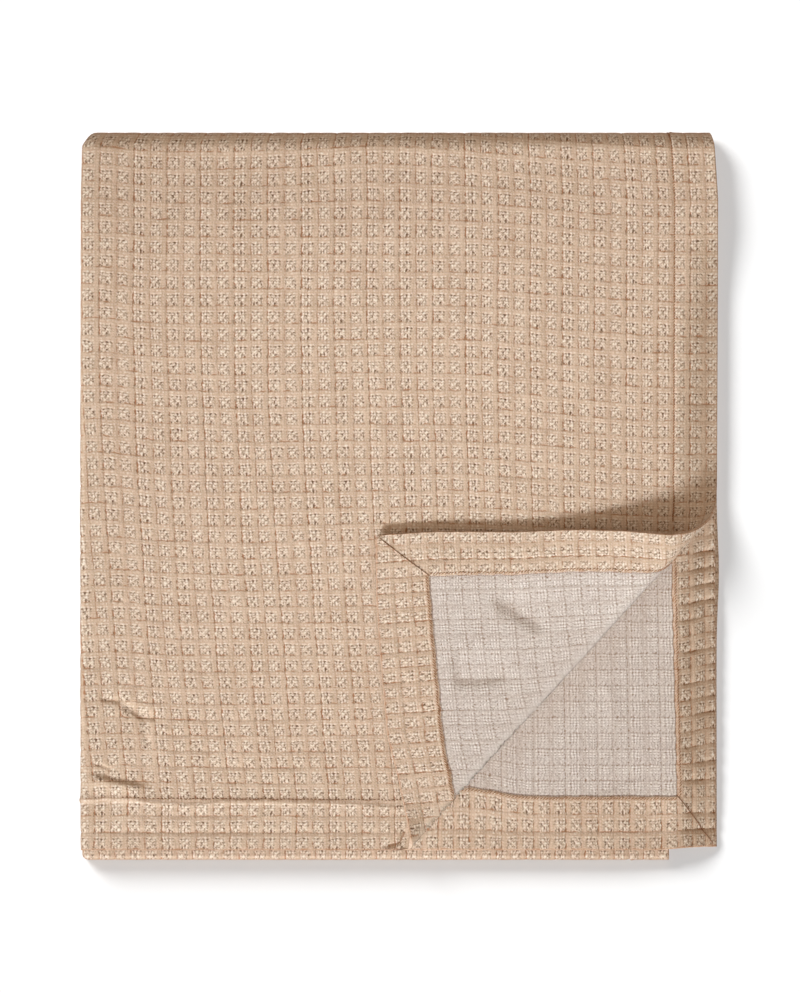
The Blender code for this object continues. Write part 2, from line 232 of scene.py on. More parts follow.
@dataclass
class Weave:
    """The woven blocks: where their lines run and how high the cloth puffs between them."""

    cloth: ClothSize
    column_pitch: float = 0.0162
    column_growth: float = 0.0000172
    row_pitch: float = 0.0163
    row_growth: float = 0.000018
    hem_pitch: float = 0.0164
    hem_row_pitch: float = 0.0169
    second_pitch: float = 0.0160
    shown_columns: int = 42
    hidden_columns: int = 88
    second_columns: int = 20
    shown_rows: int = 46
    hidden_rows: int = 79
    puff: float = 0.00046
    sink: float = 0.00044
    pillow_power: float = 0.36
    multiplied: float = 0.35
    mean_fullness: float = 0.7
    weak_line: float = 0.68
    end_hem_lines: tuple[tuple[int, float], ...] = ((2, 1.0), (4, 0.1))
    beside_rows: Pair = (0.45, 0.55)
    beside_columns: Pair = (0.60, 0.40)
    seed: int = 11

    def __post_init__(self) -> None:
        """Lays out the lines of the blocks over the whole cloth."""
        hem, steps = self.cloth.side_hem, np.arange(self.shown_columns + 1)
        first = hem + self.column_pitch * steps + self.column_growth * steps**2
        inner = self.cloth.width - hem
        last = inner - self.second_pitch * np.arange(self.second_columns, -1, -1)
        middle = np.linspace(first[-1], last[0], self.hidden_columns + 1)[1:]
        self.column_lines = self.with_hems((first, middle, last[1:]), hem, inner, self.hem_pitch)
        hem, steps = self.cloth.end_hem, np.arange(self.shown_rows + 1)
        first = hem + self.row_pitch * steps + self.row_growth * steps**2
        inner = self.cloth.length - hem
        middle = np.linspace(first[-1], inner, self.hidden_rows + 1)[1:]
        self.row_lines = self.with_hems((first, middle), hem, inner, self.hem_row_pitch)
        self.column_numbers = np.arange(len(self.column_lines)) - float(LINES_BEFORE)
        self.row_numbers = np.arange(len(self.row_lines)) - float(LINES_BEFORE)
        draws = np.random.default_rng(self.seed)
        size = (len(self.column_lines) + 2, len(self.row_lines) + 2)
        self.column_strength = draws.uniform(0.30, 1.0, size)
        self.row_strength = draws.uniform(0.0, 1.0, size) ** 1.3
        self.fullness = draws.uniform(0.45, 1.0, size)
        for row, strength in self.end_hem_lines:
            self.row_strength[:, row] = strength

    @staticmethod
    def with_hems(lines: Sequence[Array], low: float, high: float, pitch: float) -> Array:
        """Adds the hems' own lines, this pitch apart, below low and above high."""
        steps = np.arange(1, LINES_BEFORE + 1)
        return np.concatenate((low - pitch * steps[::-1], *lines, high + pitch * steps))

    def blocks(self, u: Array, v: Array) -> Arrays:
        """The place on the cloth counted in blocks, whole numbers on their lines."""
        column = np.interp(u, self.column_lines, self.column_numbers)
        return column, np.interp(v, self.row_lines, self.row_numbers)

    def lines(self, low: float, high: float, across: bool) -> list[float]:
        """The block lines strictly between two places, across the cloth or along it."""
        found = self.column_lines if across else self.row_lines
        return [float(line) for line in found if low < line < high]

    def pillow(self, share: Array) -> Array:
        """The height over a block, from 0 on its line to 1 over its middle."""
        return np.sin(np.pi * np.clip(share, 0.0, 1.0)) ** self.pillow_power

    @staticmethod
    def beside_figure(share: Array, low: float, high: float) -> Array:
        """1 beside the blocks' charted figures, 0 beside their plain ground."""
        return smooth((share - low) / 0.12 + 0.5) * smooth((high - share) / 0.12 + 0.5)

    @staticmethod
    def line_depth(along: Array, across: Array, table: Array) -> Array:
        """How deep the nearest line is drawn in, unevenly from block to block.

        Args:
            along: the place along the line, in blocks.
            across: the place across it, in blocks.
            table: each line's strength at each block.

        Returns:
            The strength of the nearest line there.
        """
        share = smooth(along - np.floor(along))
        line = np.rint(across).astype(int) + LINES_BEFORE
        first = np.floor(along).astype(int) + LINES_BEFORE
        line = np.clip(line, 0, table.shape[0] - 1)
        first = np.clip(first, 0, table.shape[1] - 2)
        return table[line, first] * (1.0 - share) + table[line, first + 1] * share

    def relief(self, u: Array, v: Array, upright: Array, level: Array) -> Array:
        """The height of the puffed cloth over its mean level.

        Args:
            u, v: places on the cloth.
            upright: how strongly the lines along the cloth are drawn in there.
            level: how strongly the lines across the cloth are drawn in there.

        Returns:
            The height, in metres.
        """
        column, row = self.blocks(u, v)
        across, along = np.floor(column), np.floor(row)
        share_u, share_v = column - across, row - along
        pillow_u, pillow_v = self.pillow(share_u), self.pillow(share_v)
        strong = np.where(np.mod(np.rint(column), 2.0) > 0.5, 1.0, self.weak_line)
        columns = strong * self.line_depth(row, column, self.column_strength) * upright
        columns = columns * ramped(self.beside_rows, self.beside_figure(share_v, 0.0, 0.64))
        rows = self.line_depth(column, row, self.row_strength.T) * level
        rows = rows * ramped(self.beside_columns, self.beside_figure(share_u, 0.34, 1.0))
        drop_u, drop_v = columns * (1.0 - pillow_u), rows * (1.0 - pillow_v)
        kept = self.multiplied * (1.0 - drop_u) * (1.0 - drop_v)
        kept = kept + (1.0 - self.multiplied) * (1.0 - np.maximum(drop_u, drop_v))
        across = np.clip(across.astype(int) + LINES_BEFORE, 0, self.fullness.shape[0] - 1)
        along = np.clip(along.astype(int) + LINES_BEFORE, 0, self.fullness.shape[1] - 1)
        lift = (self.fullness[across, along] - self.mean_fullness) * pillow_u * pillow_v
        return self.puff * (1.0 + lift) - (self.puff + self.sink) * (1.0 - kept)


@dataclass
class Drift:
    """How far the rows and columns of the weave have slid out of square in the stack.

    Where a pair of numbers ends in _across or _along, it is a place, and a reach over which
    the slide comes in or goes.
    """

    cloth: ClothSize
    lean: float = 0.0300
    lean_start: float = 0.5625
    lean_length: float = 0.511
    lean_power: float = 1.6
    lean_full_across: float = 0.330
    droop: float = 0.0143
    droop_across: Pair = (0.2935, 0.266)
    droop_along: Pair = (0.26, 0.14)
    edge_dip: float = 0.0050
    edge_across: Pair = (0.640, 0.045)
    edge_front: float = 0.45
    top_rise: float = 0.0048
    top_across: Pair = (0.355, 0.070)
    top_along: Pair = (0.700, 0.035)
    middle_dip: float = 0.0022
    middle_across: Pair = (0.487, 0.080)
    middle_along: Pair = (0.36, 0.16)
    wander: float = 0.0008
    fade_across: Pair = (0.70, 0.45)
    fade_along: Pair = (0.80, 0.30)
    second_reach: float = 0.35
    second_step: float = 0.001
    second_lean: float = 0.0050
    second_lift: float = 0.0030
    second_end_lift: float = 0.0090
    second_low_along: Pair = (0.33, 0.30)
    second_end_across: Pair = (0.185, 0.075)
    second_fade_across: Pair = (0.30, 0.20)
    second_fade_reach: float = 0.25
    hem_wave: float = 0.0004
    hem_wave_reach: float = 0.009
    hem_wave_end: float = 0.40
    pleat_rise: float = 0.0060
    pleat_along: Pair = (0.30, 0.10)

    def __call__(self, u: Array, v: Array) -> Arrays:
        """The cloth's place, in the coordinates of cloth folded in square."""
        slides = (self.top_panel(u, v), self.hem_ripples(u, v), self.second_layer(u, v))
        return u + sum(slide[0] for slide in slides), v + sum(slide[1] for slide in slides)

    def top_panel(self, u: Array, v: Array) -> Arrays:
        """The slides of the top panel.

        Args:
            u, v: places on the cloth.

        Returns:
            The slide across and the slide along.
        """
        shows = (1.0 - after(u, *self.fade_across)) * (1.0 - after(v, *self.fade_along))
        below = np.clip((self.lean_start - v) / self.lean_length, 0.0, 1.0)
        past_hem = np.clip((u - self.cloth.side_hem) / self.lean_full_across, 0.0, 1.0)
        wander = np.sin(u / 0.031 + 1.3 * np.sin(v / 0.047)) * np.sin(v / 0.061 + 0.7)
        du = (self.wander * wander - self.lean * below**self.lean_power) * past_hem
        dv = -self.droop * before(u, *self.droop_across) * after(v, *self.droop_along)
        left = near(u, *self.edge_across) * ramped((0.45, 0.55), after(v, 0.0, self.edge_front))
        dv = dv + self.edge_dip * left * after(v, 0.0, 0.08)
        place, reach = self.top_along
        near_top = np.exp(-np.clip(place - v, 0.0, None) / reach)
        dv = dv + self.top_rise * near(u, *self.top_across) * near_top
        dv = dv - self.middle_dip * near(u, *self.middle_across) * near(v, *self.middle_along)
        wander = np.sin(v / 0.029 + 1.1 * np.sin(u / 0.053)) * np.sin(u / 0.071)
        dv = dv + self.wander * wander * after(v, 0.0, 0.06)
        return du * shows, dv * shows

    def hem_ripples(self, u: Array, v: Array) -> Arrays:
        """The small ripples along the edges of the hems.

        Args:
            u, v: places on the cloth.

        Returns:
            The slide across and the slide along.
        """
        side, reach = np.minimum(u, self.cloth.width - u), self.hem_wave_reach
        du = np.sin(v / 0.0043 + 2.1 * np.sin(v / 0.0170)) * near(side, self.cloth.side_hem, reach)
        dv = np.sin(u / 0.0049 + 1.7 * np.sin(u / 0.0150)) * near(v, self.cloth.end_hem, reach)
        return self.hem_wave * du * (v < self.hem_wave_end), self.hem_wave * dv

    def second_layer(self, u: Array, v: Array) -> Arrays:
        """The slides of the layer beside the turned corner.

        Args:
            u, v: places on the cloth.

        Returns:
            The slide across and the slide along.
        """
        hem_u, hem_v = self.cloth.side_hem, self.cloth.end_hem
        second = self.cloth.width - u
        low = before(v, *self.second_low_along)
        close = after(second, 0.0, hem_u) * (1.0 - after(second, 0.0, self.second_reach))
        du = (self.second_step + self.second_lean * low) * close
        inside = after(v, 0.0, hem_v) * (1.0 - after(v, hem_v, self.second_fade_reach))
        lift = self.second_lift + self.second_end_lift * after(second, *self.second_end_across)
        dv = lift * inside * (1.0 - after(second, *self.second_fade_across))
        past_foot = before(second, hem_u, hem_u) * after(v, hem_v, hem_v)
        return du, dv + self.pleat_rise * past_foot * (1.0 - after(v, *self.pleat_along))


class Layer(Enum):
    """Which part of the stack a crease is in."""

    TOP = "the top layer, lying flat"
    TURNED = "its corner, turned back"
    SECOND = "the layer beside that corner"


@dataclass(frozen=True)
class Crease:
    """A soft trough or ridge that bends through three places on one layer.

    The rise is negative for a trough. The width is the one on the right of its way, and the
    gentler side on its left may be wider.
    """

    start: Pair
    middle: Pair
    end: Pair
    rise: float
    width: float
    left: float
    layer: Layer = Layer.TOP

    def height(self, x: Array, y: Array) -> Array:
        """The crease's height over the panel.

        Args:
            x, y: places on the stack.

        Returns:
            The height, below 0 in a trough.
        """
        best = np.full_like(x, 1e9)
        share = np.zeros_like(x)
        signed = np.zeros_like(x)
        for first, last, offset in ((self.start, self.middle, 0.0), (self.middle, self.end, 0.5)):
            along = np.array(last) - np.array(first)
            length = float(np.hypot(*along))
            along = along / length
            run = np.clip((x - first[0]) * along[0] + (y - first[1]) * along[1], 0.0, length)
            off_x = x - first[0] - run * along[0]
            off_y = y - first[1] - run * along[1]
            away = np.hypot(off_x, off_y)
            nearer = away < best
            best = np.where(nearer, away, best)
            share = np.where(nearer, offset + 0.5 * run / length, share)
            signed = np.where(nearer, off_y * along[0] - off_x * along[1], signed)
        ends = after(share, 0.0, 0.22) * before(share, 1.0, 0.30)
        return self.rise * ends * hump(best / np.where(signed > 0.0, self.left, self.width))


@dataclass
class Stack:
    """The folded cloth: four layers across, three panels along, one corner turned back."""

    cloth: ClothSize
    drift: Drift
    height: float = 0.0360
    layers: int = 4
    panels: int = 3
    second_hem_setback: float = 0.0018
    right_fold_setback: float = 0.0010
    front_hem_y: float = -0.3620
    back_edge_y: float = 0.3713
    front_edge_y: float = -0.3713
    turn_side_end: Pair = (0.0020, 0.3450)
    turn_front_end: Pair = (0.3170, -0.0015)
    turn_spread: float = 1.040
    turn_slip: float = 0.018
    turn_ease: float = 0.030
    turn_radius: float = 0.0020
    turn_settle: float = 0.050
    turn_loft: float = 0.0044
    front_square: float = 10.0
    back_droop: float = 0.16
    back_droop_reach: float = 0.110
    corner_droop: float = 0.22
    corner_droop_start: Pair = (0.190, -0.260)
    corner_droop_reach: Pair = (0.090, 0.095)
    side_loop: Pair = (0.0165, 0.115)
    front_loop: Pair = (0.0045, 0.022)
    hang_depth: float = 0.0225
    hang_profile: tuple[Pair, ...] = (
        # place along the stack, share of the full depth
        (-0.371, 1.16), (-0.250, 1.10), (-0.120, 1.02), (-0.010, 0.90), (0.070, 0.84),
        (0.140, 0.92), (0.210, 1.06), (0.371, 1.06),
    )
    hang_reach: float = 0.060
    hang_start: float = 0.001
    hang_back_reach: float = 0.150
    front_rise: tuple[float, float, float] = (0.0035, 0.255, 0.060)
    bulge: tuple[float, float, float, float] = (0.0026, 0.286, 0.045, 0.040)
    settle_start: float = 0.03
    side_draw: tuple[Pair, ...] = (
        # distance along the side hem from the corner, how far the hem draws in
        (0.060, 0.0005), (0.136, 0.0044), (0.200, 0.0030), (0.245, 0.0042), (0.288, 0.0082),
        (0.320, 0.0046), (0.345, 0.0),
    )
    side_draw_reach: float = 0.300
    end_draw: tuple[Pair, ...] = (
        # distance along the front hem from the corner, how far the hem draws in
        (0.0, 0.0), (0.060, -0.0060), (0.110, -0.0082), (0.200, -0.0100), (0.240, -0.0040),
        (0.285, 0.0),
    )
    end_draw_reach: float = 0.090
    edge_rows: tuple[tuple[str, float, float], ...] = (
        # place, left edge x, right edge x
        ("front hem", -0.3248, 0.3248),
        ("top panel, middle", -0.3254, 0.3244),
        ("top panel, back", -0.3246, 0.3258),
        ("back fold, top", -0.3234, 0.3223),
        ("back fold, middle", -0.3142, 0.3173),
        ("back fold, under", -0.3142, 0.3128),
        ("lowest panel, back", -0.3162, 0.2908),
        ("lowest panel, middle", -0.3202, 0.2788),
        ("front fold, under", -0.3234, 0.2756),
        ("front fold, over", -0.3234, 0.2756),
        ("inner panel, middle", -0.3202, 0.2788),
        ("inner panel, back", -0.3162, 0.2908),
        ("inner hem", -0.3148, 0.3061),
    )
    panel_shares: tuple[float, float, float] = (0.13, 0.35, 0.67)
    swells: tuple[tuple[float, ...], ...] = (
        # x, y, half length, half width, turn in degrees, rise
        (-0.250, -0.225, 0.120, 0.070, 35.0, 0.0016),
        (-0.130, -0.040, 0.180, 0.080, 10.0, 0.0012),
        (0.100, 0.170, 0.200, 0.090, -20.0, 0.0014),
        (-0.200, 0.220, 0.150, 0.080, 25.0, 0.0010),
    )

    def __post_init__(self) -> None:
        """Works out the runs of cloth between the folds."""
        self.pitch = self.height / (self.layers * self.panels)
        self.outer_fold = 1.5 * self.pitch
        self.inner_fold = 0.5 * self.pitch
        self.back_fold = self.layers * self.pitch
        self.front_fold = 0.5 * self.layers * self.pitch
        top_layer = 1.5 * self.pitch
        arcs = math.pi * (self.outer_fold + 2.0 * self.inner_fold)
        setbacks = self.second_hem_setback + 2.0 * (self.inner_fold + self.right_fold_setback)
        self.top_run = (self.cloth.width - arcs + setbacks) / self.layers
        self.folded_run = self.top_run - self.inner_fold - self.right_fold_setback
        second_run = self.top_run - self.second_hem_setback
        outer, inner = math.pi * self.outer_fold, math.pi * self.inner_fold
        runs = (self.top_run, outer, self.folded_run, inner, self.folded_run, inner, second_run)
        self.section_ends = np.cumsum((0.0, *runs))
        self.back_radius = self.back_fold + top_layer
        self.front_radius = self.front_fold + top_layer
        half = 0.5 * self.cloth.thickness
        self.back_centre = self.back_edge_y - self.back_radius - half
        self.front_centre = self.front_edge_y + self.front_radius + half
        self.top_panel = self.back_centre - self.front_hem_y
        self.lowest_panel = self.back_centre - self.front_centre
        self.back_arc = math.pi * self.back_radius
        self.front_arc = math.pi * self.front_radius
        inner_panel = self.cloth.length - self.top_panel - self.back_arc
        inner_panel -= self.lowest_panel + self.front_arc
        runs = (self.top_panel, self.back_arc, self.lowest_panel, self.front_arc, inner_panel)
        self.route_ends = np.cumsum((0.0, *runs))
        ends, lowest = self.route_ends, self.lowest_panel
        close, far = self.panel_shares[:2]
        self.edge_places = (
            0.0, 0.45 * self.top_panel, 0.93 * self.top_panel, ends[1] + 0.10 * self.back_arc,
            ends[1] + 0.50 * self.back_arc, ends[2], ends[2] + close * lowest, ends[2] + far * lowest,
            ends[3], ends[4], ends[4] + (1.0 - far) * lowest, ends[4] + (1.0 - close) * lowest, ends[5],
        )
        start, end = np.array(self.turn_side_end), np.array(self.turn_front_end)
        self.turn_length = float(np.linalg.norm(end - start))
        self.turn_start = start
        self.turn_line = (end - start) / self.turn_length
        self.turn_over = np.array((self.turn_line[1], -self.turn_line[0]))

    def edge(self, v: Array, column: int) -> Array:
        """The x of the stack's edge at v: column 1 is its left edge, 2 its right."""
        return np.interp(v, self.edge_places, [row[column] for row in self.edge_rows])

    def past_turn(self, u: Array, v: Array) -> Array:
        """How far (u, v) lies past the corner's diagonal fold, towards the corner."""
        start, over = self.turn_start, self.turn_over
        return (u - start[0]) * over[0] + (v - start[1]) * over[1]

    def section(self, u: Array) -> Arrays:
        """Where the cloth lies in the four layers.

        Args:
            u: place across the cloth.

        Returns:
            The place across the stack, and the height over the middle of the layers.
        """
        runs = [u - start for start in self.section_ends[:-1]]
        outer, inner = self.outer_fold, self.inner_fold
        where = [u < end for end in self.section_ends[1:-1]]
        places = [
            self.top_run - runs[0], -outer * np.sin(runs[1] / outer), runs[2],
            self.folded_run + inner * np.sin(runs[3] / inner), self.folded_run - runs[4],
            -inner * np.sin(runs[5] / inner),
        ]
        level = np.full_like(u, outer)
        heights = [
            level, outer * np.cos(runs[1] / outer), -level,
            -self.pitch - inner * np.cos(runs[3] / inner), -level + self.pitch,
            -inner * np.cos(runs[5] / inner),
        ]
        across = np.select(where, places, runs[6])
        return across, np.select(where, heights, level - self.pitch)

    def route(self, v: Array) -> tuple[Array, Array, Array, Array]:
        """Where the layers' middle lies in the three panels.

        Args:
            v: place along the cloth.

        Returns:
            Its y and z, and the y and z of the way out of the stack there.
        """
        ends = self.route_ends
        back = (v - ends[1]) / self.back_radius
        front = (v - ends[3]) / self.front_radius
        square = self.squared(front)
        low = 0.5 * self.layers * self.pitch
        back_height, front_height = low + self.back_fold, low + self.front_fold
        where = [v < end for end in ends[1:-1]]
        zero, one = np.zeros_like(v), np.ones_like(v)
        y_places = [
            self.front_hem_y + v, self.back_centre + self.back_fold * np.sin(back),
            self.back_centre - (v - ends[2]),
            self.front_centre - self.front_fold * np.sin(front) * square,
        ]
        z_places = [
            one * (back_height + self.back_fold), back_height + self.back_fold * np.cos(back),
            one * low, front_height - self.front_fold * np.cos(front) * square,
        ]
        y = np.select(where, y_places, self.front_centre + (v - ends[4]))
        z = np.select(where, z_places, one * (front_height + self.front_fold))
        front_y, front_z = -np.sin(front) * square, -np.cos(front) * square
        out_y = np.select(where, [zero, np.sin(back), zero, front_y], zero)
        out_z = np.select(where, [one, np.cos(back), -one, front_z], one)
        return y, z, out_y, out_z

    def squared(self, angle: Array) -> Array:
        """How much further out a squarer fold lies than a round one, at an angle round it."""
        power = self.front_square
        round_off = np.abs(np.sin(angle)) ** power + np.abs(np.cos(angle)) ** power
        return round_off ** (-1.0 / power)

    def turned_corner(self, u: Array, v: Array) -> tuple[Array, Array, Array]:
        """Folds the top layer's corner back.

        Args:
            u, v: places on the cloth.

        Returns:
            The new u and v, and the lift off the layer.
        """
        start, line, over = self.turn_start, self.turn_line, self.turn_over
        freed = smooth(self.past_turn(u, v) / self.turn_ease)
        side = np.interp(v, *zip(*self.side_draw)) * np.exp(-u / self.side_draw_reach)
        end = np.interp(u, *zip(*self.end_draw)) * np.exp(-v / self.end_draw_reach)
        u, v = u + side * freed, v + end * freed
        along = (u - start[0]) * line[0] + (v - start[1]) * line[1]
        past = self.past_turn(u, v)
        from_side = np.maximum(along, 0.0) / self.side_loop[1]
        from_front = np.maximum(self.turn_length - along, 0.0) / self.front_loop[1]
        radius = self.turn_radius + self.side_loop[0] * hump(from_side)
        radius = radius + self.front_loop[0] * hump(from_front)
        axis = -(radius + 0.5 * self.cloth.thickness)
        run = past * np.where(past > 0.0, self.turn_spread, 1.0) - axis
        angle = np.clip(run / radius, 0.0, math.pi)
        beyond = np.maximum(run - math.pi * radius, 0.0)
        settle = beyond / self.turn_settle
        settled = (1.0 + settle) * np.exp(-settle)
        rolled = radius * (1.0 - np.cos(angle))
        rest = self.pitch + self.turn_loft * smooth(beyond / self.settle_start)
        laid = rest + (2.0 * radius - rest) * settled
        new_past = axis + radius * np.sin(angle) - beyond
        new_along = along - self.turn_slip * beyond
        turned = (run > 0.0) & (u < self.top_run) & (v < self.top_panel)
        new_u = start[0] + new_along * line[0] + new_past * over[0]
        new_v = start[1] + new_along * line[1] + new_past * over[1]
        lift = np.where(beyond > 0.0, laid, rolled)
        return (np.where(turned, new_u, u), np.where(turned, new_v, v), np.where(turned, lift, 0.0))

    def hang(self, x: Array, y: Array, v: Array) -> Array:
        """How far the top panel drops past the ends of the panels under it.

        Args:
            x, y: places on the stack.
            v: place along the cloth.

        Returns:
            The drop.
        """
        reach = np.clip(y, self.front_centre, self.back_centre)
        under = self.route_ends[2] + self.back_centre - reach
        past = x - self.edge(under, 2) - self.hang_start
        before_back = smooth((self.top_panel - v) / self.hang_back_reach)
        depth = self.hang_depth * np.interp(y, *zip(*self.hang_profile))
        return depth * smooth(past / self.hang_reach) * before_back

    def swell(self, x: Array, y: Array, v: Array) -> Array:
        """How far the top panel's looser places rise.

        Args:
            x, y: places on the stack.
            v: place along the cloth.

        Returns:
            The rise.
        """
        total = np.zeros_like(x)
        for middle_x, middle_y, half_length, half_width, turn, rise in self.swells:
            cosine, sine = math.cos(math.radians(turn)), math.sin(math.radians(turn))
            long_way = ((x - middle_x) * cosine + (y - middle_y) * sine) / half_length
            short_way = ((y - middle_y) * cosine - (x - middle_x) * sine) / half_width
            total += rise * np.exp(-(long_way**2) - short_way**2)
        return total * smooth((self.top_panel - v) / self.hang_back_reach)

    def folded(self, u: Array, v: Array) -> Array:
        """Where the middle of the cloth's thickness lies in the stack.

        Args:
            u, v: places on the cloth.

        Returns:
            The places, one row each.
        """
        u, v = self.drift(u, v)
        u, v, lift = self.turned_corner(u, v)
        across, height = self.section(u)
        y, z, out_y, out_z = self.route(v)
        share = (across + self.outer_fold) / (self.top_run + self.outer_fold)
        x = self.edge(v, 1) * (1.0 - share) + self.edge(v, 2) * share
        rise, place, length, depth = self.bulge
        near_fold = smooth((across - self.folded_run) / depth + 1.0) * (height < 0.0)
        x = x + rise * near_fold * near(v, place, length)
        rise, begin, reach = self.front_rise
        y = y + rise * after(x, begin, reach) * before(v, reach, reach)
        y = y + out_y * (height + lift)
        z = z + out_z * (height + lift)
        loose = self.swell(x, y, v) - self.hang(x, y, v)
        z = z + np.where(v < self.top_panel, loose, 0.0)
        z = z - 0.5 * (self.pitch - self.cloth.thickness)
        near_back = smooth((y - self.back_edge_y) / self.back_droop_reach + 1.0)
        near_side = after(x, self.corner_droop_start[0], self.corner_droop_reach[0])
        near_front = before(y, self.corner_droop_start[1], self.corner_droop_reach[1])
        droop = self.back_droop * near_back + self.corner_droop * near_side * near_front
        return np.stack((x, y, z * (1.0 - droop)), axis=-1)

    def normals(self, u: Array, v: Array) -> Array:
        """The way out of the cloth's face.

        Args:
            u, v: places on the cloth.

        Returns:
            The unit normals, one row each.
        """
        across = self.folded(u + SLOPE_STEP, v) - self.folded(u - SLOPE_STEP, v)
        along = self.folded(u, v + SLOPE_STEP) - self.folded(u, v - SLOPE_STEP)
        normal = np.cross(along, across)
        return normal / np.linalg.norm(normal, axis=1, keepdims=True)


@dataclass
class Shown:
    """Which parts of the cloth show, and so carry the relief of the weave in full.

    A pair of sizes is across and along. A field that ends in _past is a distance past the
    diagonal fold, or past the end of the fold that it names.
    """

    cloth: ClothSize
    stack: Stack
    drift: Drift
    corner_size: Pair = (0.40, 0.42)
    second_size: Pair = (0.36, 0.37)
    fade: float = 0.020
    side_fold_past: float = 0.012
    back_fold_share: float = 0.80
    under_size: Pair = (0.318, 0.308)
    under_past: float = -0.002
    under_along: float = 0.352
    strip_past: Pair = (0.006, 0.004)
    second_cut_size: Pair = (0.315, 0.335)
    second_cut_past: float = -0.022
    corner_cut_size: Pair = (0.36, 0.39)
    corner_cut_past: float = -0.006
    edge_fade: float = 0.010
    strip_end_past: float = 0.012
    turn_clear: float = 0.004
    low_along: float = 0.34
    under_fade_size: Pair = (0.322, 0.312)
    second_fade: float = 0.030
    corner_fade: Pair = (0.002, 0.012)

    def beside(self, u: Array, v: Array) -> Arrays:
        """The second layer's cloth beside the turned corner.

        Args:
            u, v: places on the cloth.

        Returns:
            How far it lies past the diagonal fold, and whether (u, v) is on it at all.
        """
        second = self.cloth.width - u
        within = (second < self.second_size[0]) & (v < self.second_size[1])
        return self.stack.past_turn(second, v), within

    def corner(self, u: Array, v: Array) -> Arrays:
        """The turned corner's cloth.

        Args:
            u, v: places on the cloth.

        Returns:
            How far it lies past the diagonal fold, and whether (u, v) is near it at all.
        """
        u, v = self.drift(u, v)
        within = (u < self.corner_size[0]) & (v < self.corner_size[1])
        return self.stack.past_turn(u, v), within

    def face(self, u: Array, v: Array) -> Array:
        """Whether the face shows, neither inside the stack nor under the corner.

        Args:
            u, v: places on the cloth.

        Returns:
            True where it shows.
        """
        stack = self.stack
        u, v = self.drift(u, v)
        layer = u < stack.section_ends[2] + self.side_fold_past
        panel = v < stack.route_ends[1] + self.back_fold_share * stack.back_arc
        turned = (stack.past_turn(u, v) > self.under_past) & (v < self.under_along)
        under = (u < self.under_size[0]) & (v < self.under_size[1]) | turned
        strip = (u < stack.top_run) & (v > stack.route_ends[3] + self.strip_past[0])
        strip &= v < stack.route_ends[4] + self.strip_past[1]
        return (layer & panel & ~under) | strip

    def reverse(self, u: Array, v: Array) -> Array:
        """Whether the reverse shows: the turned corner, and the second layer beside it.

        Args:
            u, v: places on the cloth.

        Returns:
            True where it shows.
        """
        stack = self.stack
        second = self.cloth.width - u
        on_second = (second < self.second_cut_size[0]) & (v < self.second_cut_size[1])
        on_second &= stack.past_turn(second, v) > self.second_cut_past
        u, v = self.drift(u, v)
        on_corner = (u < self.corner_cut_size[0]) & (v < self.corner_cut_size[1])
        return on_second | (on_corner & (stack.past_turn(u, v) > self.corner_cut_past))

    def face_share(self, u: Array, v: Array) -> Array:
        """How far the face shows.

        Args:
            u, v: places on the cloth.

        Returns:
            From 0 inside the stack to 1 where it shows.
        """
        stack, fade = self.stack, self.fade
        edge, (under_u, under_v) = self.edge_fade, self.under_fade_size
        strip = (u < stack.top_run) * smooth((v - stack.route_ends[3]) / edge)
        strip = strip * smooth((stack.route_ends[4] + self.strip_end_past - v) / edge)
        u, v = self.drift(u, v)
        layer = smooth((stack.section_ends[2] + fade - u) / fade)
        panel = smooth((stack.route_ends[2] - v) / fade)
        turned = smooth(-(stack.past_turn(u, v) + self.turn_clear) / fade)
        low = smooth((v - self.low_along) / fade)
        under = 1.0 - smooth((under_u - u) / edge) * smooth((under_v - v) / edge)
        return np.maximum(layer * panel * np.maximum(turned, low) * under, strip)

    def reverse_share(self, u: Array, v: Array) -> Array:
        """How far the reverse shows.

        Args:
            u, v: places on the cloth.

        Returns:
            From 0 inside the stack to 1 where it shows.
        """
        past_second, beside = self.beside(u, v)
        past, corner = self.corner(u, v)
        on_second = smooth(past_second / self.second_fade) * beside
        start, reach = self.corner_fade
        return np.maximum(on_second, smooth((past + start) / reach) * corner)

    def layer_shares(self, u: Array, v: Array) -> dict[Layer, Array]:
        """How far the cloth lies within each layer that may be creased.

        Args:
            u, v: places on the cloth.

        Returns:
            Each layer's share, from 0 to 1.
        """
        past_second, beside = self.beside(u, v)
        past, _ = self.corner(u, v)
        u, v = self.drift(u, v)
        top = (u < self.stack.top_run) & (v < self.stack.top_panel)
        return {
            Layer.TOP: smooth(-past / self.fade) * top,
            Layer.TURNED: smooth(past / self.fade) * top,
            Layer.SECOND: smooth(past_second / self.fade) * beside,
        }

    def from_turn(self, u: Array, v: Array) -> Array:
        """How far the cloth is from the diagonal fold.

        Args:
            u, v: places on the cloth.

        Returns:
            The distance: above 0 on the corner, below 0 beside it, and 1 elsewhere.
        """
        past_second, beside = self.beside(u, v)
        past, corner = self.corner(u, v)
        away = np.where(beside, -np.abs(past_second), 1.0)
        return np.where(corner & (past > -self.turn_clear), np.abs(past), away)


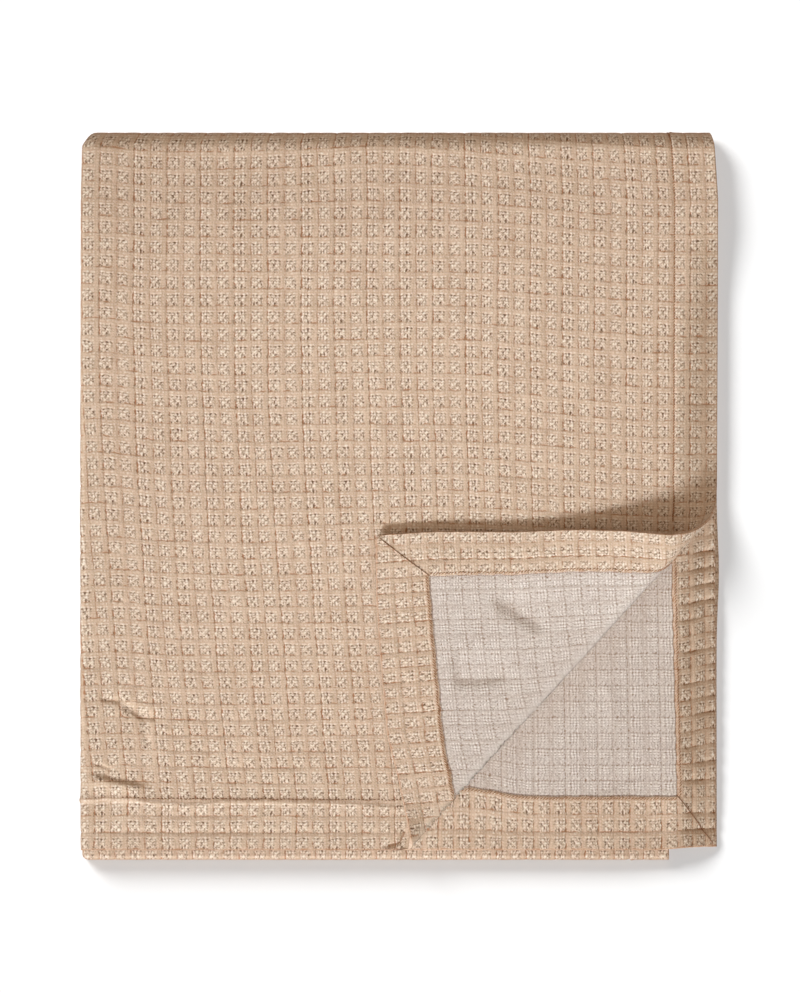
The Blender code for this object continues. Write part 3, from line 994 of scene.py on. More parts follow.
@dataclass
class Sheet:
    """The whole cloth: cut along its woven blocks, folded, and dressed."""

    cloth: ClothSize
    weave: Weave
    stack: Stack
    drift: Drift
    shown: Shown
    creases: tuple[Crease, ...]
    name: str = "bedspread_cloth"
    block_cuts: tuple[float, ...] = (0.08, 0.35, 0.65, 0.92)
    crease_cuts: int = 2
    crease_reach: float = 0.03
    hidden_spacing: float = 0.085
    fold_step: float = 0.0028
    seam_step: float = 0.0014
    closest_cuts: float = 0.0004
    clear_of_rim: float = 0.0015
    hang_cuts: tuple[float, ...] = (0.0145, 0.0290, 0.0445, 0.0600)
    upright_face: Pair = (0.70, 0.35)
    upright_reverse: Pair = (0.10, 1.1)
    level_face: Pair = (1.1, -0.35)
    level_reverse: Pair = (0.16, 1.1)
    pleats: Pair = (0.8, 3.0)
    near_creases: float = 0.7
    near_creases_across: Pair = (0.40, 0.12)
    near_creases_along: Pair = (0.22, 0.10)
    up_reach: float = 0.55
    down_along: Pair = (0.15, 0.50)
    pleat_reach: float = 0.02
    ridge_reach: Pair = (0.0022, 0.0024)
    end_ridge_share: float = 1.5
    groove_reach: float = 0.0014
    bend_size: Pair = (0.40, 0.44)
    bend_past: Pair = (-0.06, 0.09)
    turn_scores: tuple[float, ...] = (
        # distance past the start of the corner's bend
        -0.0030, 0.0, 0.0018, 0.0037, 0.0056, 0.0075, 0.0094, 0.0113, 0.0140, 0.0170, 0.0205,
        0.0250, 0.0300, 0.0360, 0.0420, 0.0480,
    )

    def stations_across(self) -> list[float]:
        """Where both sides of the cloth are cut across its width."""
        stack, ends, width = self.stack, list(self.stack.section_ends), self.cloth.width
        hem, edge = self.cloth.side_hem, self.cloth.hem_edge
        left, spacing = ends[1], self.hidden_spacing
        found = self.weave.lines(0.0, left + 0.090, across=True)
        found += [hem + edge, hem - self.cloth.hem_ridge_inset, 0.5 * hem]
        found += list(np.arange(left - 0.010, left + 0.062, self.fold_step))
        found += list(np.arange(left + 0.10, ends[2] + stack.top_run - 0.07, spacing))
        found += [ends[2] + stack.top_run - cut for cut in self.hang_cuts]
        for first, last in ((ends[3], ends[4]), (ends[5], ends[6])):
            found += list(np.linspace(first, last, 6))
        found += [ends[4] + stack.folded_run - stack.top_run + cut for cut in self.hang_cuts]
        found += list(np.arange(ends[4] + 0.07, ends[5] - 0.02, spacing))
        found += list(np.arange(ends[6] + 0.05, width - 0.330, spacing))
        found += self.weave.lines(width - 0.330, width, across=True)
        found += [width - hem - edge, width - 0.5 * hem]
        return self.spread_out(found, width)

    def stations_along(self) -> list[float]:
        """Where both sides of the cloth are cut along its length."""
        ends, lowest = list(self.stack.route_ends), self.stack.lowest_panel
        hem, edge = self.cloth.end_hem, self.cloth.hem_edge
        shares = self.stack.panel_shares
        found = self.weave.lines(0.0, ends[1] - 0.02, across=False)
        found += [hem + edge, *(hem - self.seam_step * step for step in range(1, 9))]
        found += [self.cloth.length - hem, self.cloth.length - hem - edge]
        found += list(np.arange(ends[1] - 0.018, ends[2] + 0.020, 2.0 * self.fold_step))
        found += [ends[2] + share * lowest for share in shares]
        found += list(np.linspace(ends[3], ends[4], 10))
        found += [ends[4] + (1.0 - share) * lowest for share in shares]
        return self.spread_out(found, self.cloth.length)

    def spread_out(self, places: Iterable[float], length: float) -> list[float]:
        """Puts the cuts in order and drops those that all but touch another or the rim.

        Args:
            places: where the cuts are wanted.
            length: the cloth's length that way.

        Returns:
            Where the cuts are made.
        """
        kept: list[float] = []
        for place in sorted(places):
            clear = not kept or place - kept[-1] > self.closest_cuts
            if clear and self.clear_of_rim < place < length - self.clear_of_rim:
                kept.append(float(place))
        return kept

    @staticmethod
    def cut(slab: Slab, faces: Sequence, point: Sequence, normal: Sequence) -> list:
        """Cuts these faces along a plane.

        Args:
            slab: the flat cloth.
            faces: the faces to cut.
            point: a point on the plane.
            normal: the plane's normal.

        Returns:
            The faces that they have become.
        """
        sides = dict.fromkeys(side for face in faces for side in face.edges)
        corners = dict.fromkeys(corner for face in faces for corner in face.verts)
        parts = [*faces, *sides, *corners]
        plane = dict(dist=SAME_PLACE, plane_co=point, plane_no=normal)
        made = bmesh.ops.bisect_plane(slab, geom=parts, **plane)
        return [part for part in made["geom"] if isinstance(part, bmesh.types.BMFace)]

    def flat_slab(self) -> Slab:
        """The flat cloth with rounded corners and rims, cut along its stations."""
        slab = bmesh.new()
        bmesh.ops.create_cube(slab, size=1.0)
        size = (self.cloth.width, self.cloth.length, self.cloth.thickness)
        bmesh.ops.scale(slab, vec=size, verts=slab.verts)
        middle = (0.5 * self.cloth.width, 0.5 * self.cloth.length, 0.0)
        bmesh.ops.translate(slab, vec=middle, verts=slab.verts)
        upright = [edge for edge in slab.edges if abs(edge.verts[0].co.z - edge.verts[1].co.z) > 0]
        self.round_off(slab, upright, self.cloth.corner, 3)
        rims = [edge for edge in slab.edges if edge.is_manifold and self.is_rim(edge)]
        self.round_off(slab, rims, self.cloth.rim, 2)
        cuts = [((u, 0.0, 0.0), ACROSS) for u in self.stations_across()]
        cuts += [((0.0, v, 0.0), ALONG) for v in self.stations_along()]
        for point, normal in cuts:
            parts = [*slab.verts, *slab.edges, *slab.faces]
            plane = dict(dist=SAME_PLACE, plane_co=point, plane_no=normal)
            bmesh.ops.bisect_plane(slab, geom=parts, **plane)
        return slab

    @staticmethod
    def is_rim(edge: bmesh.types.BMEdge) -> bool:
        """Whether the edge lies between the slab's broad sides and its walls."""
        flat = [abs(face.normal.z) > 0.5 for face in edge.link_faces]
        return flat[0] != flat[1]

    @staticmethod
    def round_off(slab: Slab, edges: Sequence, offset: float, segments: int) -> None:
        """Rounds these edges of the slab, this far in, with this many facets."""
        size = dict(offset=offset, offset_type="OFFSET", segments=segments, profile=0.5)
        bmesh.ops.bevel(slab, geom=list(edges), affect="EDGES", material=-1, **size)

    def shown_faces(self, slab: Slab, side: Side) -> list:
        """The flat faces on one side of the slab that show once it is folded.

        Args:
            slab: the flat cloth.
            side: the side of the cloth.

        Returns:
            The faces.
        """
        flat = [face for face in slab.faces if face.normal.z * side.value > 0.9]
        test = self.shown.face if side is Side.FACE else self.shown.reverse
        picked = test(*middles(flat))
        return [face for face, shows in zip(flat, picked) if shows]

    def refine(self, slab: Slab, side: Side, across: bool) -> None:
        """Cuts the faces that show on one side along the lines inside their blocks.

        Args:
            slab: the flat cloth.
            side: the side of the cloth.
            across: whether to cut across the cloth's width, or along its length.
        """
        lines = self.weave.column_lines if across else self.weave.row_lines
        axis, normal = (0, ACROSS) if across else (1, ALONG)
        buckets: dict[int, list] = {}
        for face in self.shown_faces(slab, side):
            place = face.calc_center_median()[axis]
            buckets.setdefault(int(np.searchsorted(lines, place)) - 1, []).append(face)
        for number, faces in sorted(buckets.items()):
            low, high = lines[number], lines[number + 1]
            for share in self.block_cuts:
                place = low + share * (high - low)
                faces = self.cut(slab, faces, tuple(place * part for part in normal), normal)

    def score_turn(self, slab: Slab) -> None:
        """Cuts both sides along the bend of the turned corner.

        Args:
            slab: the flat cloth.
        """
        start, over = self.stack.turn_start, self.stack.turn_over
        first = -(self.stack.turn_radius + 0.5 * self.cloth.thickness)
        u, v = self.drift(*middles(slab.faces))
        past = self.stack.past_turn(u, v)
        bends = (u < self.bend_size[0]) & (v < self.bend_size[1])
        bends &= (past > self.bend_past[0]) & (past < self.bend_past[1])
        faces = [face for face, picked in zip(slab.faces, bends) if picked]
        for score in self.turn_scores:
            place = start + (first + score) * over
            faces = self.cut(slab, faces, (*place, 0.0), (*over, 0.0))

    def refine_creases(self, slab: Slab) -> None:
        """Splits the facets that the creases run over into smaller ones.

        Args:
            slab: the flat cloth.
        """
        u, v = middles(slab.faces)
        places = self.stack.folded(u, v)
        shares = self.shown.layer_shares(u, v)
        creased = np.zeros(len(u), bool)
        for crease in self.creases:
            height = crease.height(places[:, 0], places[:, 1]) * shares[crease.layer]
            creased |= np.abs(height) > self.crease_reach * abs(crease.rise)
        wanted = [face for face, picked in zip(slab.faces, creased) if picked]
        edges = list(dict.fromkeys(edge for face in wanted for edge in face.edges))
        bmesh.ops.subdivide_edges(slab, edges=edges, cuts=self.crease_cuts, use_grid_fill=True)

    def past_hems(self, u: Array, v: Array) -> Array:
        """How far (u, v) lies inside the nearest hem's edge, below 0 on a hem."""
        side = np.minimum(u, self.cloth.width - u) - self.cloth.side_hem
        return np.minimum(side, np.minimum(v, self.cloth.length - v) - self.cloth.end_hem)

    def hem_band(self, u: Array, v: Array) -> Array:
        """1 on the hems, 0 inside them."""
        return np.clip(1.0 - self.past_hems(u, v) / self.cloth.hem_edge, 0.0, 1.0)

    def hem_rise(self, u: Array, v: Array) -> Array:
        """How far the turned-over hem stands up from the reverse."""
        hidden, seen = self.cloth.hidden_hem_rise, self.shown.reverse_share(u, v)
        return (hidden + (self.cloth.shown_hem_rise - hidden) * seen) * self.hem_band(u, v)

    def hem_seam(self, u: Array, v: Array) -> Array:
        """The groove that the hem's stitches draw into the face, and the ridge beside it.

        Args:
            u, v: places on the cloth.

        Returns:
            Their height.
        """
        cloth = self.cloth
        side = np.minimum(u, cloth.width - u) - cloth.side_hem
        end = np.minimum(v, cloth.length - v) - cloth.end_hem
        wave = np.interp(u, *zip(*cloth.hem_ridge_line))
        side_reach, end_reach = self.ridge_reach
        ridge = hump((side + cloth.hem_ridge_inset) / side_reach)
        ridge = ridge + self.end_ridge_share * hump((end + wave) / end_reach)
        return cloth.hem_ridge * ridge - cloth.hem_groove * hump(side / self.groove_reach)

    def relief(self, u: Array, v: Array, side: Array) -> Array:
        """The height of the puffed weave, outwards, where it shows.

        Args:
            u, v: places on the cloth.
            side: above 0 for the face, below 0 for the reverse.

        Returns:
            The height over the cloth's mean level.
        """
        face = side > 0.0
        band = np.clip(self.hem_rise(u, v) / self.cloth.hidden_hem_rise, 0.0, 1.0)
        up, down = smooth(v / self.up_reach), after(v, *self.down_along)
        upright = np.where(face, ramped(self.upright_face, up), ramped(self.upright_reverse, band))
        level = np.where(face, ramped(self.level_face, down), ramped(self.level_reverse, band))
        second = self.cloth.width - u
        pleated = smooth((self.cloth.side_hem - second) / self.pleat_reach) * band * ~face
        creased = after(u, *self.near_creases_across) * before(v, *self.near_creases_along)
        creased = creased * (u < self.stack.top_run)
        upright = upright * (1.0 + self.pleats[0] * pleated)
        level = level * (1.0 + self.pleats[1] * pleated) * (1.0 + self.near_creases * creased * face)
        raw = self.weave.relief(u, v, upright, level) + self.hem_seam(u, v) * face
        shown = self.shown
        return raw * np.where(face, shown.face_share(u, v), shown.reverse_share(u, v))

    def crease_height(self, u: Array, v: Array, places: Array) -> Array:
        """The height of the creases.

        Args:
            u, v: places on the cloth.
            places: where the folded cloth lies there.

        Returns:
            How far they raise it.
        """
        shares = self.shown.layer_shares(u, v)
        total = np.zeros_like(u)
        for crease in self.creases:
            total += crease.height(places[:, 0], places[:, 1]) * shares[crease.layer]
        return total

    def fold(self, slab: Slab) -> Array:
        """Carries each point of the flat slab to its place in the stack.

        Args:
            slab: the flat cloth.

        Returns:
            Where each point lay on the flat cloth.
        """
        flat = np.array([tuple(corner.co) for corner in slab.verts])
        u, v, side = flat.T
        u, v = self.cloth.rounded(u, v)
        full = np.clip(np.abs(side) / (0.5 * self.cloth.thickness), 0.0, 1.0) ** 2
        out = side + np.sign(side) * full * self.relief(u, v, side)
        out = np.where(side < 0.0, out - self.hem_rise(u, v) * full, out)
        places = self.stack.folded(u, v) + self.stack.normals(u, v) * out[:, None]
        places[:, 2] += self.crease_height(u, v, places)
        for corner, place in zip(slab.verts, places):
            corner.co = place
        return flat

    def dress(self, mesh: Mesh, flat: Array) -> None:
        """Gives each facet its finish, and the mesh its two maps: its blocks, and its distance
        from the diagonal fold with the mask of painted shade on the stack's sides.

        The hem band shows the face on both sides.

        Args:
            mesh: the folded cloth.
            flat: where each of its points lay on the flat cloth.
        """
        start = np.zeros(len(mesh.polygons), int)
        total = np.zeros(len(mesh.polygons), int)
        corners = np.zeros(len(mesh.loops), int)
        mesh.polygons.foreach_get("loop_start", start)
        mesh.polygons.foreach_get("loop_total", total)
        mesh.loops.foreach_get("vertex_index", corners)
        values = np.add.reduceat(flat[corners], start, axis=0) / total[:, None]
        inside = self.past_hems(values[:, 0], values[:, 1]) > 0.5 * self.cloth.hem_edge
        reverse = inside & (values[:, 2] < -0.3 * self.cloth.thickness)
        finish = np.where(reverse, Finish.REVERSE.value, Finish.FACE.value)
        mesh.polygons.foreach_set("material_index", finish.astype(np.int32))
        u, v = flat[corners][:, 0], flat[corners][:, 1]
        away = self.shown.from_turn(u, v)
        normals = np.zeros(3 * len(mesh.vertices))
        mesh.vertices.foreach_get("normal", normals)
        # painted shade mask: where the cloth turns sharply away from straight up, at the stack's sides,
        # away from the fold
        steep_side_shade = smooth((0.80 - normals.reshape(-1, 3)[corners, 2]) / 0.6) * (away > 0.5)
        for name, pair in ((WEAVE_MAP, self.weave.blocks(u, v)), (FOLD_AND_SHADE_MAP, (away, steep_side_shade))):
            layer = mesh.uv_layers.new(name=name)
            layer.data.foreach_set("uv", np.stack(pair, axis=-1).ravel())

    def build(self, materials: Sequence[Material]) -> Thing:
        """Makes the folded cloth.

        Args:
            materials: the face's finish, then the reverse's.

        Returns:
            The finished piece.
        """
        slab = self.flat_slab()
        for side in Side:
            self.refine(slab, side, across=True)
            self.refine(slab, side, across=False)
        self.score_turn(slab)
        self.refine_creases(slab)
        many = [face for face in slab.faces if len(face.verts) > 4]
        bmesh.ops.triangulate(slab, faces=many)
        slab.verts.index_update()
        flat = self.fold(slab)
        bmesh.ops.reverse_faces(slab, faces=slab.faces[:])
        mesh = bpy.data.meshes.new(self.name)
        slab.to_mesh(mesh)
        slab.free()
        self.dress(mesh, flat)
        return finished(mesh, materials)


class Kind(Enum):
    """What passes through a socket of a shared effect, as Blender's name for it."""

    VALUE = "NodeSocketFloat"
    COLOUR = "NodeSocketColor"
    PLACE = "NodeSocketVector"


def sockets(**names: str) -> dict[str, Kind]:
    """The sockets of an effect: for each kind, their names, with spaces between them."""
    return {name: Kind[kind] for kind, joined in names.items() for name in joined.split()}


@dataclass
class Graph:
    """A shader tree, with short ways to add and join its nodes."""

    tree: bpy.types.NodeTree

    def node(self, kind: str, **settings: object) -> bpy.types.Node:
        """Adds a node.

        Args:
            kind: the node's type.
            **settings: what to set on it.

        Returns:
            The node.
        """
        made = self.tree.nodes.new(kind)
        for key, value in settings.items():
            setattr(made, key, value)
        return made

    def feed(self, socket: Socket, value: object) -> None:
        """Joins a socket to another, or sets its value.

        Args:
            socket: the socket that takes it.
            value: another socket, a number, a vector or a colour.
        """
        if isinstance(value, Socket):
            self.tree.links.new(value, socket)
        else:
            socket.default_value = value

    def fed(self, made: bpy.types.Node, values: Iterable[object]) -> bpy.types.Node:
        """A node with its first sockets given these values, in order."""
        for socket, value in zip(made.inputs, values):
            self.feed(socket, value)
        return made

    def given(self, made: bpy.types.Node, **values: object) -> bpy.types.Node:
        """A node with its sockets of these names given these values."""
        for key, value in values.items():
            self.feed(made.inputs[key], value)
        return made

    def maths(self, operation: str, *operands: Operand, clamp: bool = False) -> Socket:
        """A calculation on one, two or three values."""
        made = self.node("ShaderNodeMath", operation=operation, use_clamp=clamp)
        return self.fed(made, operands).outputs[0]

    def times(self, first: Operand, second: Operand, clamp: bool = False) -> Socket:
        """A product of two values."""
        return self.maths("MULTIPLY", first, second, clamp=clamp)

    def vector(self, operation: str, *operands: object) -> Socket:
        """A calculation on vectors."""
        made = self.node("ShaderNodeVectorMath", operation=operation)
        return self.fed(made, operands).outputs["Vector"]

    def scaled(self, place: Socket, across: float, along: float) -> Socket:
        """A place on the cloth, counted finer or coarser."""
        return self.vector("MULTIPLY", place, (across, along, 1.0))

    def split(self, place: Socket) -> tuple[Socket, Socket]:
        """A place's first two parts, across and along."""
        parts = self.fed(self.node("ShaderNodeSeparateXYZ"), (place,))
        return parts.outputs[0], parts.outputs[1]

    def surface_map(self, name: str) -> Socket:
        """The piece's own map of this name."""
        return self.node("ShaderNodeUVMap", uv_map=name).outputs["UV"]

    def ramp(self, value: Operand, low: float, high: float, *ends: Operand) -> Socket:
        """A smooth step from low to high, between these ends, or 0 and 1."""
        made = self.node("ShaderNodeMapRange", interpolation_type="SMOOTHSTEP")
        return self.fed(made, (value, low, high, *(ends or (0.0, 1.0)))).outputs["Result"]

    def mix(self, share: Operand, first: object, second: object) -> Socket:
        """A blend of two colours.

        Args:
            share: the second colour's share.
            first, second: the colours.

        Returns:
            The blend.
        """
        made = self.node("ShaderNodeMix", data_type="RGBA")
        for number, value in ((0, share), (6, first), (7, second)):
            self.feed(made.inputs[number], value)
        return made.outputs[2]

    def noise(self, place: Socket, scale: float, detail: float = 1.0) -> Socket:
        """Soft noise, near 0.5 on the whole."""
        made = self.node("ShaderNodeTexNoise", noise_dimensions="3D")
        self.given(made, Vector=place, Scale=scale, Detail=detail, Roughness=0.55)
        return made.outputs[0]

    def scatter(self, place: Socket) -> Socket:
        """A value from 0 to 1 that jumps from one whole-numbered place to the next."""
        made = self.node("ShaderNodeTexWhiteNoise", noise_dimensions="3D")
        return self.fed(made, (self.vector("FLOOR", place),)).outputs["Value"]


class Effect:
    """An effect that more than one finish uses: one node group with named sockets."""

    name: str
    inputs: dict[str, Kind]
    outputs: dict[str, Kind]

    def draw(self, graph: Graph, given: Sockets) -> Drawn:
        """Makes the group's own nodes.

        Args:
            graph: the group's tree.
            given: its inputs, by name.

        Returns:
            What its outputs take, by name.
        """
        raise NotImplementedError

    def group(self) -> bpy.types.NodeTree:
        """The node group, made the first time that it is asked for."""
        found = bpy.data.node_groups.get(self.name)
        if found:
            return found
        tree = bpy.data.node_groups.new(self.name, "ShaderNodeTree")
        for wanted, way in ((self.inputs, "INPUT"), (self.outputs, "OUTPUT")):
            for key, kind in wanted.items():
                tree.interface.new_socket(name=key, in_out=way, socket_type=kind.value)
        graph = Graph(tree)
        drawn = self.draw(graph, graph.node("NodeGroupInput").outputs)
        graph.given(graph.node("NodeGroupOutput"), **drawn)
        return tree

    def put(self, graph: Graph, **values: object) -> Sockets:
        """Puts the group into a finish's tree with these inputs, and gives its outputs."""
        made = graph.node("ShaderNodeGroup", node_tree=self.group())
        return graph.given(made, **values).outputs


class UnsteadyPlace(Effect):
    """The place on the cloth counted in blocks, a little unsteady as yarn is."""

    name = "unsteady_place"
    inputs = sockets(PLACE="blocks")
    outputs = sockets(PLACE="place")

    def draw(self, graph: Graph, given: Sockets) -> Drawn:
        """Draws the group, as Effect.draw says."""
        made = graph.node("ShaderNodeTexNoise", noise_dimensions="3D")
        graph.given(made, Vector=given["blocks"], Scale=2.3, Detail=2.0)
        nudge = graph.vector("SUBTRACT", made.outputs["Color"], (0.5, 0.5, 0.5))
        nudge = graph.vector("MULTIPLY", nudge, (0.20, 0.20, 0.0))
        return {"place": graph.vector("ADD", given["blocks"], nudge)}


class WithinFigure(Effect):
    """1 within a block's charted figure, 0 in the plain cloth above and beside it."""

    name = "within_figure"
    inputs = sockets(PLACE="place")
    outputs = sockets(VALUE="within")

    def draw(self, graph: Graph, given: Sockets) -> Drawn:
        """Draws the group, as Effect.draw says."""
        column, row = graph.split(given["place"])
        across = graph.maths("SUBTRACT", 1.0, graph.maths("FRACT", column))
        across = graph.ramp(across, *FIGURE_EDGE)
        along = graph.ramp(graph.maths("FRACT", row), *FIGURE_EDGE)
        return {"within": graph.times(across, along)}


class UnevenYarn(Effect):
    """How strongly each charted yarn shows, and the flecks of yarn between them."""

    name = "uneven_yarn"
    inputs = sockets(PLACE="place", VALUE="within more outside")
    outputs = sockets(VALUE="strength fleck")

    def draw(self, graph: Graph, given: Sockets) -> Drawn:
        """Draws the group, as Effect.draw says."""
        place = given["place"]
        column, row = graph.split(place)
        chance = graph.scatter(graph.scaled(place, 8.0, 5.5))
        across = graph.maths("SINE", graph.times(column, math.tau * 5.3))
        along = graph.maths("SINE", graph.times(row, math.tau * 6.0))
        dots = graph.maths("ADD", graph.maths("MINIMUM", across, along), 0.36)
        fleck = graph.scatter(graph.scaled(place, 13.0, 11.0))
        fleck = graph.maths("MULTIPLY_ADD", dots, 0.8, graph.maths("SUBTRACT", fleck, 0.5))
        spread = graph.maths("MULTIPLY_ADD", given["within"], given["more"], given["outside"])
        return {
            "strength": graph.maths("MULTIPLY_ADD", chance, 1.1, 0.45),
            "fleck": graph.times(fleck, spread),
        }


class MottledGround(Effect):
    """The plain ground between the figures, mottled as crinkled cotton is, and its fine grain."""

    name = "mottled_ground"
    inputs = sockets(PLACE="place", COLOUR="ground shade blush", VALUE="blush_share")
    outputs = sockets(COLOUR="colour", VALUE="grain")

    def draw(self, graph: Graph, given: Sockets) -> Drawn:
        """Draws the group, as Effect.draw says."""
        place = given["place"]
        grain = graph.noise(graph.scaled(place, 10.0, 10.0), 1.0, 3.0)
        broad = graph.noise(place, 0.55, 3.0)
        ribbed = graph.noise(graph.scaled(place, 8.0, 1.6), 1.0, 2.0)
        both = graph.maths("MULTIPLY_ADD", ribbed, 0.5, graph.times(grain, 0.5))
        blend = graph.maths("MULTIPLY_ADD", broad, 0.4, graph.times(both, 0.8))
        colour = graph.mix(graph.ramp(blend, 0.48, 0.72), given["ground"], given["shade"])
        warm = graph.noise(graph.vector("ADD", place, (9.0, 4.0, 2.0)), 4.5, 3.0)
        warm = graph.times(graph.ramp(warm, 0.42, 0.66), given["blush_share"])
        return {"colour": graph.mix(warm, colour, given["blush"]), "grain": grain}


class PaintedFoldSheenAndShade(Effect):
    """Painted sheen over the diagonal fold; painted shade at its base and on the stack's sides."""

    name = "beside_turn"
    inputs = sockets(
        PLACE="turn", COLOUR="colour crest foot", VALUE="crest_share foot_share side_share"
    )
    outputs = sockets(COLOUR="colour")

    def draw(self, graph: Graph, given: Sockets) -> Drawn:
        """Draws the group, as Effect.draw says."""
        away, steep_side_shade = graph.split(given["turn"])
        # painted sheen: paler within a few millimetres of the fold, on the top of the roll
        over = graph.times(graph.ramp(away, 0.013, 0.004), given["crest_share"])
        over = graph.times(over, graph.maths("GREATER_THAN", away, -0.0001))
        # painted shade: browner on the layer beside the fold, close to where the roll lies on it
        below = graph.times(graph.ramp(away, -0.040, -0.004), given["foot_share"])
        below = graph.times(below, graph.maths("LESS_THAN", away, 0.0))
        colour = graph.mix(over, given["colour"], given["crest"])
        colour = graph.mix(below, colour, given["foot"])
        # painted shade on the stack's sides, in the same tone as beside the fold
        steep_side_shade = graph.times(steep_side_shade, given["side_share"])
        return {"colour": graph.mix(steep_side_shade, colour, given["foot"])}


class DrawnLines(Effect):
    """The drawn-in lines between the blocks, broken up as they are in the cloth."""

    name = "drawn_lines"
    inputs = sockets(PLACE="place", VALUE="width weak level beside_plain")
    outputs = sockets(VALUE="line")
    full_width: float = 0.015

    def draw(self, graph: Graph, given: Sockets) -> Drawn:
        """Draws the group, as Effect.draw says."""
        place, reach = given["place"], (given["width"], self.full_width)
        column, row = graph.split(place)
        pair = graph.maths("FLOORED_MODULO", column, 2.0)
        strong = graph.maths("ABSOLUTE", graph.maths("SUBTRACT", pair, 1.0))
        strong = graph.ramp(strong, *reach)
        other = graph.maths("MINIMUM", pair, graph.maths("SUBTRACT", 2.0, pair))
        weak = graph.times(graph.ramp(other, *reach), given["weak"])
        along = graph.maths("FRACT", row)
        near = graph.maths("MINIMUM", along, graph.maths("SUBTRACT", 1.0, along))
        level = graph.times(graph.ramp(near, *reach), given["level"])
        upright = graph.scaled(place, 1.0, 3.0)
        broken = graph.ramp(graph.noise(upright, 0.9, 2.0), 0.36, 0.62)
        lying = graph.scaled(place, 3.0, 1.0)
        patchy = graph.ramp(graph.noise(lying, 0.7, 2.0), 0.44, 0.66)
        beside = graph.ramp(along, *FIGURE_EDGE, given["beside_plain"], 1.0)
        columns = graph.times(graph.maths("MAXIMUM", strong, weak), broken)
        columns = graph.times(columns, beside)
        level = graph.times(level, patchy)
        return {"line": graph.maths("MAXIMUM", columns, level)}


@dataclass
class ClothEdge(Effect):
    """1 at the cloth's very edge, 0 a few threads in: the mask of the painted shade along the rim."""

    weave: Weave
    name = "cloth_edge"
    inputs = sockets(PLACE="blocks")
    outputs = sockets(VALUE="edge")

    def draw(self, graph: Graph, given: Sockets) -> Drawn:
        """Draws the group, as Effect.draw says."""
        cloth = self.weave.cloth
        first = self.weave.blocks(0.0, 0.0)
        last = self.weave.blocks(cloth.width, cloth.length)
        nearest: Operand = 9.0
        for place, low, high in zip(graph.split(given["blocks"]), first, last):
            inside = graph.maths("SUBTRACT", place, float(low))
            nearest = graph.maths("MINIMUM", nearest, inside)
            inside = graph.maths("SUBTRACT", float(high), place)
            nearest = graph.maths("MINIMUM", nearest, inside)
        return {"edge": graph.ramp(nearest, 0.13, 0.05)}


class TwistedThread(Effect):
    """Sewing thread's colour, with painted shade in the hollows between its twisted strands."""

    name = "twisted_thread"
    inputs = sockets(PLACE="spot", COLOUR="colour hollow")
    outputs = sockets(COLOUR="colour")

    def draw(self, graph: Graph, given: Sockets) -> Drawn:
        """Draws the group, as Effect.draw says."""
        share = graph.ramp(graph.noise(given["spot"], 900.0, 1.0), 0.35, 0.65)
        return {"colour": graph.mix(share, given["colour"], given["hollow"])}


MARKS = {"@": 0.0, "x": 0.24, ".": 0.5, "o": 0.76, "O": 1.0}


@dataclass(frozen=True)
class Chart:
    """A weaver's chart of one repeat, two blocks wide and one block high.

    Each row is read from one strong line to the next, going towards the hem, and the rows
    from the top of the block down: @ and x are dark yarn, o and O light yarn, dots the ground.
    An x at a row's start or end lies on the strong line, partly painted shade of the sunk line.
    """

    rows: tuple[str, ...]

    def shade(self, graph: Graph, place: Socket) -> Socket:
        """The chart's shade: -1 for dark yarn, 0 for the ground, 1 for light yarn.

        Args:
            graph: the finish's tree.
            place: the place on the cloth, counted in blocks.

        Returns:
            The shade.
        """
        column, row = graph.split(place)
        back = graph.maths("SUBTRACT", 1.0, column)
        repeat = graph.times(graph.maths("FLOORED_MODULO", back, 2.0), 0.5)
        count = float(len(self.rows))
        level = graph.maths("MULTIPLY_ADD", graph.maths("FRACT", row), count, -0.5)
        total: Operand = -0.5
        for number, marks in enumerate(reversed(self.rows)):
            away = graph.maths("SUBTRACT", level, float(number))
            away = graph.maths("WRAP", away, 0.5 * count, -0.5 * count)
            share = graph.maths("SUBTRACT", 1.0, graph.maths("ABSOLUTE", away), clamp=True)
            total = graph.maths("MULTIPLY_ADD", self.ramp(graph, repeat, marks), share, total)
        return graph.times(total, 2.0)

    @staticmethod
    def ramp(graph: Graph, repeat: Socket, marks: str) -> Socket:
        """One row of the chart, as a ramp with a stop for each mark.

        Args:
            graph: the finish's tree.
            repeat: the place along the row, from 0 to 1.
            marks: the row.

        Returns:
            The row's shade there, from 0 to 1.
        """
        made = graph.fed(graph.node("ShaderNodeValToRGB"), (repeat,))
        stops = made.color_ramp.elements
        stops.remove(stops[-1])
        for number, mark in enumerate(marks):
            place = (number + 0.5) / len(marks)
            stop = stops.new(place) if number else stops[0]
            stop.position = place
            stop.color = (MARKS[mark], MARKS[mark], MARKS[mark], 1.0)
        return made.outputs[0]


